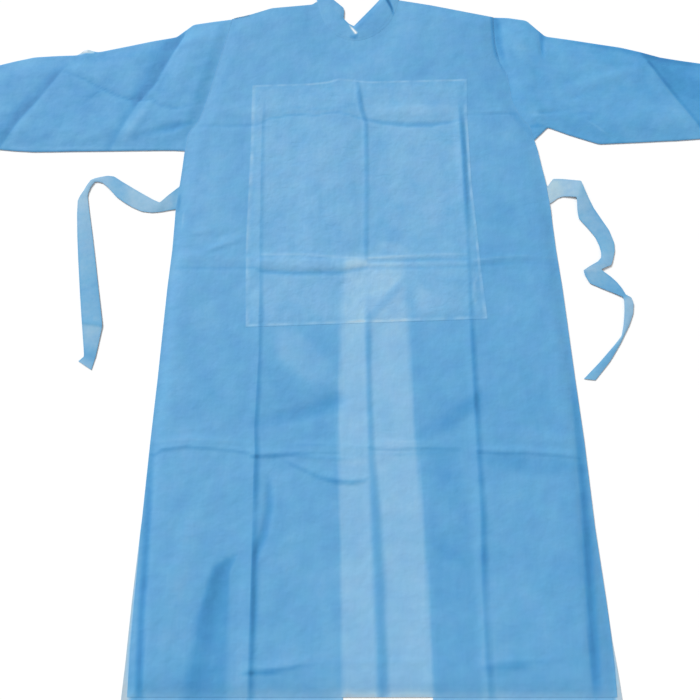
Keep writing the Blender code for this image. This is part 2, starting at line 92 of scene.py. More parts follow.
def fold(rise, tint, line, lean=0.0, tintShare=0.45, tintShift=0.0, tintLean=0.0, plateau=0.0):
    # a crease: its points are (across, along, half width, strength); lean and tintLean widen its shape and
    # its colour to the left of the line's run, and the colour stays full over the plateau. The tint is painted
    # shade in the hollow and, where negative, a painted highlight on a lit ridge, with a little of the deeper
    # colour of pressed, doubled cloth
    return {"rise": rise, "tint": tint, "line": line, "lean": lean, "tintShare": tintShare,
            "tintShift": tintShift, "tintLean": tintLean, "plateau": plateau}


def creased(x, y, folds):
    # how far the folds lift the cloth at each point, and how much deeper they make its colour: painted shade
    # in their hollows and, where the tint is negative, painted highlight
    lift = np.zeros_like(x)
    depth = np.zeros_like(x)
    for one in folds:
        bump = np.zeros_like(x)
        paintedCreaseShade = np.zeros_like(x)
        for (ax, ay, aWidth, aForce), (bx, by, bWidth, bForce) in zip(one["line"], one["line"][1:]):
            runX, runY = bx - ax, by - ay
            length = math.hypot(runX, runY)
            part = np.clip(((x - ax) * runX + (y - ay) * runY) / length ** 2, 0, 1)
            width = mix(aWidth, bWidth, part)
            force = mix(aForce, bForce, part)
            side = (runX * (y - ay) - runY * (x - ax)) / length
            away = np.hypot(x - ax - runX * part, y - ay - runY * part)
            signed = np.where(side > 0, away, -away) / width
            reach = np.where(signed > 0, signed / (1 + one["lean"]), -signed / (1 - one["lean"]))
            bump = np.maximum(bump, force * np.clip(1 - reach ** 2, 0, 1) ** 2)
            offset = signed - one["tintShift"]
            reach = np.where(offset > 0, offset / (1 + one["tintLean"]), -offset / (1 - one["tintLean"]))
            reach = np.clip(reach / one["tintShare"] - one["plateau"], 0, None) / (1 - one["plateau"])
            paintedCreaseShade = np.maximum(paintedCreaseShade, force * np.clip(1 - reach ** 2, 0, 1) ** 2)
        lift += one["rise"] * bump
        depth += one["tint"] * paintedCreaseShade
    return lift, depth


def finish(name, points, faces, depth):
    # one piece from its points, its faces and the depth of its colour
    mesh = bpy.data.meshes.new(name)
    points = np.array(points, float)
    points[:, 1] += shared["hemPlace"]
    mesh.from_pydata(points.tolist(), [], faces)
    shape = bmesh.new()
    shape.from_mesh(mesh)
    bmesh.ops.recalc_face_normals(shape, faces=shape.faces)
    shape.to_mesh(mesh)
    shape.free()
    mesh.attributes.new("depth", "FLOAT", "POINT").data.foreach_set("value", np.array(depth, float))
    mesh.shade_smooth()
    mesh.set_sharp_from_angle(angle=math.radians(50))
    piece = bpy.data.objects.new(name, mesh)
    bpy.context.scene.collection.objects.link(piece)
    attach(piece, "root")
    print("made", name, len(faces), "faces")
    return piece


def gridFaces(rows, columns, start=0):
    corner = np.arange(rows * columns).reshape(rows, columns) + start
    return np.stack([corner[:-1, :-1], corner[:-1, 1:], corner[1:, 1:], corner[1:, :-1]], -1).reshape(-1, 4)


def panel(name, x, y, top, wall, depth):
    # a thin closed shell over a grid of places, from the height of its upper side
    rows, columns = x.shape
    upper = np.stack([x, y, top], -1).reshape(-1, 3)
    lower = np.stack([x, y, top - wall], -1).reshape(-1, 3)
    count = len(upper)
    faces = gridFaces(rows, columns)
    corner = np.arange(count).reshape(rows, columns)
    rim = np.concatenate([corner[0], corner[1:, -1], corner[-1, -2::-1], corner[-2::-1, 0]])
    sides = np.stack([rim[:-1], rim[:-1] + count, rim[1:] + count, rim[1:]], -1)
    faces = np.concatenate([faces, faces[:, ::-1] + count, sides])
    flat = depth.reshape(-1)
    below = flat.copy()
    # the rim's lower points take the pale colour of a cut edge, a painted light on the shaded side walls
    below[rim] = shared["cutEdgePaintedLight"]
    return finish(name, np.concatenate([upper, lower]), faces.tolist(), np.concatenate([flat, below]))


def tube(name, outer, inner, depth):
    # a closed wall between two sets of rings, each given as (rings, points round, 3)
    rings, around = outer.shape[:2]
    count = rings * around
    corner = np.arange(count).reshape(rings, around)
    after = np.roll(corner, -1, axis=1)
    wallFaces = np.stack([corner[:-1], after[:-1], after[1:], corner[1:]], -1).reshape(-1, 4)
    faces = [wallFaces, wallFaces[:, ::-1] + count]
    for ring in (0, -1):
        faces.append(np.stack([corner[ring], after[ring], after[ring] + count, corner[ring] + count], -1))
    points = np.concatenate([outer.reshape(-1, 3), inner.reshape(-1, 3)])
    flat = depth.reshape(-1)
    return finish(name, points, np.concatenate(faces).tolist(), np.concatenate([flat, flat]))


def ribbon(name, middle, wall, depth):
    # a strip that may tilt and turn over, from the points of its middle surface, (along, across, 3)
    along = np.gradient(middle, axis=0)
    across = np.gradient(middle, axis=1)
    normal = np.cross(along, across)
    normal /= np.maximum(np.linalg.norm(normal, axis=-1, keepdims=True), 1e-9)
    rows, columns = middle.shape[:2]
    count = rows * columns
    half = normal * np.asarray(wall / 2)[..., None]
    points = np.concatenate([(middle + half).reshape(-1, 3), (middle - half).reshape(-1, 3)])
    corner = np.arange(count).reshape(rows, columns)
    rim = np.concatenate([corner[0], corner[1:, -1], corner[-1, -2::-1], corner[-2::-1, 0]])
    sides = np.stack([rim[:-1], rim[:-1] + count, rim[1:] + count, rim[1:]], -1)
    faces = gridFaces(rows, columns)
    faces = np.concatenate([faces, faces[:, ::-1] + count, sides])
    flat = depth.reshape(-1)
    return finish(name, points, faces.tolist(), np.concatenate([flat, flat]))


seams = {
    "armhole": {"pitch": 0.0034, "stitch": 0.0025, "thread": 0.00022, "material": "thread"},
    "binding": {"pitch": 0.0030, "stitch": 0.0022, "thread": 0.00014, "material": "thread"},
    "looseEnd": {"pitch": 0.0030, "stitch": 0.0034, "thread": 0.00050, "material": "darkThread"},
    "above": 0.0001,           # the threads lie this much above the cloth
}


def stitching(name, line, look):
    # a row of short threads that lie along a line of points
    line = np.array(line, float)
    travelled = np.concatenate([[0], np.cumsum(np.linalg.norm(np.diff(line, axis=0), axis=1))])
    points, faces = [], []
    for start in np.arange(0, travelled[-1] - look["stitch"] / 2, look["pitch"]):
        ends = [Vector([np.interp(at, travelled, line[:, axis]) for axis in range(3)])
                for at in (start, start + look["stitch"])]
        run = (ends[1] - ends[0]).normalized()
        side = Vector((-run.y, run.x, 0)).normalized() * look["thread"]
        up = Vector((0, 0, look["thread"]))
        middle = (ends[0] + ends[1]) / 2
        first = len(points)
        points += [ends[0], middle + side, middle + up * 1.3, middle - side, middle - up * 0.4, ends[1]]
        for a, b in ((1, 2), (2, 3), (3, 4), (4, 1)):
            faces += [(first, first + b, first + a), (first + 5, first + a, first + b)]
    piece = finish(name, points, faces, np.zeros(len(points)))
    piece.data.materials.append(materials[look["material"]])
    return piece


# Materials

def addNode(tree, kind, inputs=None, **settings):
    node = tree.nodes.new("ShaderNode" + kind)
    for key, value in settings.items():
        setattr(node, key, value)
    for key, value in (inputs or {}).items():
        if isinstance(value, bpy.types.NodeSocket):
            tree.links.new(value, node.inputs[key])
        else:
            node.inputs[key].default_value = value
    return node


def nonwoven(name, look):
    # bonded fibres: blotchy, faintly streaked along the grain, with rows of tiny bond dots and fine wrinkles
    material = bpy.data.materials.new(name)
    material.use_nodes = True
    tree = material.node_tree
    shader = tree.nodes["Principled BSDF"]
    place = addNode(tree, "TexCoord").outputs["Object"]
    # the depth attribute counts layers of cloth and carries painted shade and painted light as well
    pliesAndPaintedShade = addNode(tree, "Attribute", attribute_name="depth").outputs["Fac"]

    def clouds(size, detail, roughness=0.5):
        return addNode(tree, "TexNoise", {"Vector": place, "Scale": 1 / size, "Detail": detail,
                                          "Roughness": roughness})

    blotches = clouds(look["blotchSize"], 2.0).outputs["Fac"]
    mottle = clouds(look["mottleSize"], 3.0, 0.55).outputs["Fac"]
    stretched = addNode(tree, "Mapping", {"Vector": place, "Scale": look["grain"]}).outputs["Vector"]
    streaks = addNode(tree, "TexNoise", {"Vector": stretched, "Scale": 1.0, "Detail": 2.0,
                                         "Roughness": 0.6}).outputs["Fac"]
    turned = addNode(tree, "Mapping", {"Vector": place, "Rotation": (0, 0, math.radians(45))}).outputs["Vector"]
    cells = addNode(tree, "TexVoronoi", {"Vector": turned, "Scale": 1 / look["dotPitch"],
                                         "Randomness": 0.12}, voronoi_dimensions="2D").outputs["Distance"]
    dots = addNode(tree, "MapRange", {"Value": cells, "From Min": 0.18, "From Max": 0.34, "To Min": 1.0,
                                      "To Max": 0.0}, interpolation_type="SMOOTHSTEP").outputs["Result"]

    # fine wrinkles: lines where a long drawn noise crosses its middle, shown only in some places; they are
    # bumped in, and their tint deepens the colour along them, a painted shade in their valleys
    drawn = addNode(tree, "Mapping", {"Vector": place, "Rotation": (0, 0, look["wrinkleTurn"]),
                                      "Scale": look["wrinkleGrain"]}).outputs["Vector"]
    level = addNode(tree, "TexNoise", {"Vector": drawn, "Scale": 1.0, "Detail": 1.5, "Roughness": 0.45,
                                       "Distortion": 0.4}).outputs["Fac"]
    centred = addNode(tree, "Math", {0: level, 1: 0.5}, operation="SUBTRACT").outputs[0]
    off = addNode(tree, "Math", {0: centred}, operation="ABSOLUTE").outputs[0]
    lines = addNode(tree, "MapRange", {"Value": off, "From Min": 0.0, "From Max": look["wrinkleWidth"],
                                       "To Min": 1.0, "To Max": 0.0}, interpolation_type="SMOOTHSTEP").outputs["Result"]
    where = addNode(tree, "MapRange", {"Value": clouds(look["wrinklePatch"], 1.0).outputs["Fac"],
                                       "From Min": 0.46, "From Max": 0.64}).outputs["Result"]
    wrinkles = addNode(tree, "Math", {0: lines, 1: where}, operation="MULTIPLY").outputs[0]

    deeper = pliesAndPaintedShade
    for pattern, amount in ((blotches, look["blotchTint"]), (mottle, look["mottleTint"]),
                            (streaks, look["streakTint"]), (dots, look["dotTint"]),
                            (wrinkles, look["wrinkleShade"])):
        deeper = addNode(tree, "Math", {0: pattern, 1: amount, 2: deeper}, operation="MULTIPLY_ADD").outputs[0]
    middle = 0.5 * (look["blotchTint"] + look["mottleTint"] + look["streakTint"])
    middle += 0.2 * look["dotTint"] + 0.06 * look["wrinkleShade"]
    low, high = look["stops"][0][0], look["stops"][-1][0]
    shade = addNode(tree, "MapRange", {"Value": deeper, "From Min": low + middle,
                                       "From Max": high + middle}).outputs["Result"]
    colours = addNode(tree, "ValToRGB", {"Fac": shade})
    elements = colours.color_ramp.elements
    for number, (depth, colour) in enumerate(look["stops"]):
        spot = (depth - low) / (high - low)
        inner = 0 < number < len(look["stops"]) - 1
        element = elements.new(spot) if inner else elements[0 if number == 0 else -1]
        element.position = spot
        element.color = (*colour, 1.0)
    hue = addNode(tree, "MapRange", {"Value": clouds(look["hueSize"], 2.0).outputs["Fac"], "From Min": 0.35,
                                     "From Max": 0.65, "To Min": 0.5 - look["hueDrift"],
                                     "To Max": 0.5 + look["hueDrift"]}).outputs["Result"]
    drifted = addNode(tree, "HueSaturation", {"Hue": hue, "Color": colours.outputs["Color"]})
    tree.links.new(drifted.outputs["Color"], shader.inputs["Base Color"])

    crumple = clouds(look["crumpleSize"], 4.0).outputs["Fac"]
    soft = addNode(tree, "Bump", {"Strength": 1.0, "Distance": look["crumpleHeight"], "Height": crumple})
    sharp = addNode(tree, "Bump", {"Strength": 1.0, "Distance": look["wrinkleHeight"], "Height": wrinkles,
                                   "Normal": soft.outputs["Normal"]}, invert=True)
    fine = addNode(tree, "Bump", {"Strength": 1.0, "Distance": look["dotHeight"], "Height": dots,
                                  "Normal": sharp.outputs["Normal"]}, invert=True)
    tree.links.new(fine.outputs["Normal"], shader.inputs["Normal"])
    gloss = addNode(tree, "MapRange", {"Value": dots, "To Min": look["roughness"],
                                       "To Max": look["roughness"] - 0.12}).outputs["Result"]
    tree.links.new(gloss, shader.inputs["Roughness"])
    shader.inputs["Specular IOR Level"].default_value = 0.25
    shader.inputs["Sheen Weight"].default_value = look["sheen"]
    shader.inputs["Sheen Roughness"].default_value = 0.5
    return material


bodyCloth = {
    # colour by depth: bare edge, one layer over the table, two layers, and the painted shade of a deep crease
    "stops": [(-2.0, (0.800, 0.870, 0.930)), (-1.2, (0.420, 0.520, 0.600)), (-0.5, (0.310, 0.530, 0.710)),
              (0.0, (0.222, 0.456, 0.690)), (1.0, (0.119, 0.361, 0.630)), (2.0, (0.056, 0.272, 0.552)),
              (3.0, (0.018, 0.150, 0.360))],
    "blotchSize": 0.050, "blotchTint": 0.34, "mottleSize": 0.015, "mottleTint": 0.40,
    "hueSize": 0.035, "hueDrift": 0.0028,
    "grain": (230, 16, 16), "streakTint": 0.20,
    "dotPitch": 0.0019, "dotTint": 0.14, "dotHeight": 0.00005,
    "wrinkleGrain": (18, 42, 20), "wrinkleTurn": 0.3, "wrinklePatch": 0.06, "wrinkleWidth": 0.075,
    "wrinkleShade": 0.04, "wrinkleHeight": 0.00006,
    "crumpleSize": 0.016, "crumpleHeight": 0.0011,
    "roughness": 0.66, "sheen": 0.08,
}
# the sleeves' stops are the body's with green and blue about 3% brighter, a painted light as the sleeves catch more of
# it; their grain runs the other way
sleeveCloth = dict(bodyCloth, grain=(16, 230, 16), mottleTint=0.58, wrinkleShade=0.06, wrinkleTurn=-0.5,
                   stops=[(-2.0, (0.800, 0.870, 0.930)), (-1.2, (0.420, 0.530, 0.610)), (-0.5, (0.330, 0.550, 0.720)), (0.0, (0.222, 0.468, 0.712)),
                          (1.0, (0.119, 0.372, 0.648)), (2.0, (0.056, 0.282, 0.568)), (3.0, (0.020, 0.160, 0.390))])
patchCloth = dict(bodyCloth, wrinkleGrain=(26, 62, 30), wrinkleTurn=0.12, wrinklePatch=0.04, wrinkleShade=0.08,
                  wrinkleHeight=0.00011, mottleTint=0.48, crumpleHeight=0.0014)
tieCloth = dict(bodyCloth, stops=[(-0.5, (0.400, 0.570, 0.660)), (0.0, (0.285, 0.480, 0.650)),
                                  (1.0, (0.135, 0.375, 0.615)), (2.0, (0.070, 0.280, 0.520))],
                mottleSize=0.007, mottleTint=0.55, crumpleHeight=0.0006)
materials = {
    "body": nonwoven("bodyNonwoven", bodyCloth),
    "sleeve": nonwoven("sleeveNonwoven", sleeveCloth),
    "patch": nonwoven("patchNonwoven", patchCloth),
    "tie": nonwoven("tieNonwoven", tieCloth),
}


def plainStrand(name, colour, low, size, roughness):
    # thread and knit: two close colours in a fine noise; the depth attribute moves the colour to the darker one,
    # which in the knit is painted shade in the furrows
    material = bpy.data.materials.new(name)
    material.use_nodes = True
    tree = material.node_tree
    shader = tree.nodes["Principled BSDF"]
    place = addNode(tree, "TexCoord").outputs["Object"]
    furrowShade = addNode(tree, "Attribute", attribute_name="depth").outputs["Fac"]
    fuzz = addNode(tree, "TexNoise", {"Vector": place, "Scale": 1 / size, "Detail": 3.0}).outputs["Fac"]
    loops = addNode(tree, "TexWave", {"Vector": place, "Scale": 0.35 / size, "Distortion": 1.5,
                                      "Detail": 1.0}, bands_direction="X").outputs["Fac"]
    both = addNode(tree, "Math", {0: fuzz, 1: 0.35, 2: furrowShade}, operation="MULTIPLY_ADD").outputs[0]
    tones = addNode(tree, "ValToRGB", {"Fac": both})
    tones.color_ramp.elements[0].position = 0.1
    tones.color_ramp.elements[0].color = (*colour, 1)
    tones.color_ramp.elements[1].color = (*low, 1)
    tree.links.new(tones.outputs["Color"], shader.inputs["Base Color"])
    bump = addNode(tree, "Bump", {"Strength": 0.8, "Distance": size * 0.25, "Height": loops})
    tree.links.new(bump.outputs["Normal"], shader.inputs["Normal"])
    shader.inputs["Roughness"].default_value = roughness
    shader.inputs["Sheen Weight"].default_value = 0.2
    return material


materials["thread"] = plainStrand("sewingThread", (0.200, 0.440, 0.680), (0.120, 0.350, 0.610), 0.0006, 0.6)
materials["darkThread"] = plainStrand("darkThread", (0.060, 0.130, 0.160), (0.020, 0.060, 0.080), 0.0006, 0.7)
materials["knit"] = plainStrand("ribKnit", (0.780, 0.790, 0.780), (0.480, 0.510, 0.530), 0.0015, 0.85)
print("cloth materials made")


# The body: where its edges and its main folds run

body = {
    "leftSide": [(0.000, -0.3515), (0.064, -0.3524), (0.134, -0.3520), (0.240, -0.3503), (0.375, -0.3463),
                 (0.476, -0.3424), (0.637, -0.3377), (0.707, -0.3341), (0.785, -0.3332), (0.840, -0.3285),
                 (0.901, -0.3247), (0.9363, -0.3216), (0.9613, -0.3050), (0.9888, -0.2956), (1.0273, -0.2867),
                 (1.0774, -0.2763), (1.1535, -0.2600), (1.1855, -0.2532)],
    "rightSide": [(0.000, 0.3598), (0.064, 0.3594), (0.134, 0.3568), (0.240, 0.3500), (0.375, 0.3455),
                  (0.476, 0.3399), (0.637, 0.3320), (0.707, 0.3268), (0.785, 0.3232), (0.840, 0.3183),
                  (0.901, 0.3090), (0.9226, 0.3046), (0.9509, 0.2993), (0.9740, 0.2826), (1.0037, 0.2700),
                  (1.0621, 0.2642), (1.0872, 0.2519), (1.1286, 0.2456), (1.1900, 0.2452)],
    "leftPatch": [(0.0, -0.2040), (0.560, -0.2020), (0.717, -0.2080), (0.898, -0.2070), (1.035, -0.2090)],
    "leftFold": [(0.0, -0.1755), (0.186, -0.1762), (0.342, -0.1789), (0.395, -0.1823), (0.523, -0.1793),
                 (0.6246, -0.1795), (0.696, -0.1819), (0.831, -0.1850), (0.9446, -0.1871), (1.035, -0.1850)],
    "middleFold": [(0.0, 0.0168), (0.042, 0.0163), (0.217, 0.0136), (0.342, 0.0068), (0.395, 0.0036),
                   (0.523, 0.0013), (0.732, -0.0006), (0.936, 0.0010), (0.986, -0.0070), (1.046, -0.0140)],
    "rightFold": [(0.0, 0.1760), (0.056, 0.1735), (0.157, 0.1738), (0.278, 0.1767), (0.426, 0.1745),
                  (0.540, 0.1742), (0.672, 0.1749), (0.806, 0.1745), (0.956, 0.1709), (1.054, 0.1700)],
    "rightPatch": [(0.0, 0.2070), (0.585, 0.2020), (0.654, 0.1970), (0.749, 0.1920), (0.842, 0.1870),
                   (0.980, 0.1860), (1.054, 0.1890)],
    "topPlaces": {"leftPatch": -0.185, "leftFold": -0.160, "middleFold": -0.0205, "rightFold": 0.150,
                  "rightPatch": 0.178},
    "topEdge": [(-0.2532, 1.1855), (-0.2155, 1.1970), (-0.1777, 1.2110), (-0.0990, 1.2195), (-0.0915, 1.2275),
                (-0.0680, 1.2180), (-0.0450, 1.1840), (-0.0205, 1.1570), (0.0050, 1.1780), (0.0300, 1.2080),
                (0.0460, 1.2300), (0.0683, 1.2290), (0.1257, 1.2180), (0.2452, 1.1900)],
    # guide rows: name, height on the left, height on the right
    "rows": [("hem", 0.0, 0.0), ("fold1", 0.036, 0.054), ("fold2", 0.3589, 0.3494), ("patchFoot", 0.560, 0.585),
             ("fold3", 0.678, 0.679), ("fold4", 0.953, 0.974), ("patchHead", 1.035, 1.054),
             ("shoulder", 1.1855, 1.190)],
    "headWave": [(-0.40, 0.0), (-0.100, 0.0), (-0.070, 0.003), (-0.048, 0.009), (-0.022, 0.005), (0.010, 0.0),
                 (0.40, 0.0)],
    "rowCrowding": 0.35, "columnCrowding": 0.45,
}
columnNames = ["leftSide", "leftPatch", "leftFold", "middleFold", "rightFold", "rightPatch", "rightSide"]

# where the backs end: between the lap heights the left one lies on the right one
opening = {
    "left": [(0.000, -0.0382), (0.157, -0.0416), (0.407, -0.0473), (0.608, -0.0420), (0.685, -0.0370),
             (0.940, -0.0370), (1.070, -0.0400), (1.130, -0.0440), (1.190, -0.0580)],
    "right": [(0.000, 0.0925), (0.127, 0.0891), (0.279, 0.0827), (0.395, 0.0742), (0.523, 0.0694),
              (0.608, 0.0664), (0.642, 0.0485), (0.690, -0.0220), (0.735, -0.0740), (0.800, -0.0880),
              (0.880, -0.0860), (0.940, -0.0660), (1.000, -0.0220), (1.070, 0.0050), (1.130, 0.0220),
              (1.190, 0.0360)],
    "lapFoot": (0.641, 0.676), "lapHead": (0.999, 1.034),
    "lapFar": (-0.127, -0.092), "lapNear": (-0.037, 0.000),
    "edgeBlur": 0.0040, "bandHead": 0.695,
    "peeks": {"left": [(0.0, 0.0090), (0.060, 0.0055), (0.140, 0.0035), (0.260, 0.0), (1.2, 0.0)],
              "right": [(0.0, 0.0078), (0.060, 0.0015), (0.140, 0.0), (1.2, 0.0)]},
    "peekDepth": -1.15, "drop": 0.014,
}


def bodyGrid():
    # every place of the front, with its guide rows and columns among the finer ones
    rows = body["rows"]
    heights, marks = [], {}
    for (name, leftLow, rightLow), (_, leftHigh, rightHigh) in zip(rows, rows[1:]):
        marks[name] = len(heights)
        count = max(4, round((leftHigh - leftLow) / (shared["cellSize"] * 0.95)))
        for part in crowded(count, body["rowCrowding"])[:-1]:
            heights.append((mix(leftLow, leftHigh, part), mix(rightLow, rightHigh, part)))
    marks[rows[-1][0]] = len(heights)
    heights.append(rows[-1][1:])
    left, right = np.array(heights).T
    bend = ramp(right, rows[-2][2], rows[-1][2])

    guides = []
    for name in columnNames:
        if name == "leftSide":
            guides.append(rounded(body[name], left, 0.003))
        elif name == "rightSide":
            guides.append(rounded(body[name], right, 0.003))
        else:
            share = (np.mean([across for _, across in body[name]]) + 0.35) / 0.70
            level = np.minimum(mix(left, right, share), body[name][-1][0])
            guides.append(mix(rounded(body[name], level), body["topPlaces"][name], bend))
    columns, places = {}, []
    for name, start, end in zip(columnNames, guides, guides[1:]):
        columns[name] = len(places)
        count = max(4, round(np.max(end - start) / shared["cellSize"] * 1.08))
        for part in crowded(count, body["columnCrowding"])[:-1]:
            places.append(mix(start, end, part))
    columns[columnNames[-1]] = len(places)
    places.append(guides[-1])
    x = np.array(places).T
    span = (x - x[:, :1]) / (x[:, -1:] - x[:, :1])
    y = mix(left[:, None], right[:, None], span)
    top = rounded(body["topEdge"], x, 0.003)
    headY = mix(body["rows"][-2][1], body["rows"][-2][2], span)
    y = np.where(bend[:, None] > 0, mix(headY, top, bend[:, None]), y)
    nearHead = np.minimum(ramp(np.arange(len(heights)), marks["fold4"], marks["patchHead"]), 1 - bend)
    y = y + nearHead[:, None] * rounded(body["headWave"], x, 0.004)
    y[:, 0], y[:, -1] = left, right
    return x, y, marks, columns
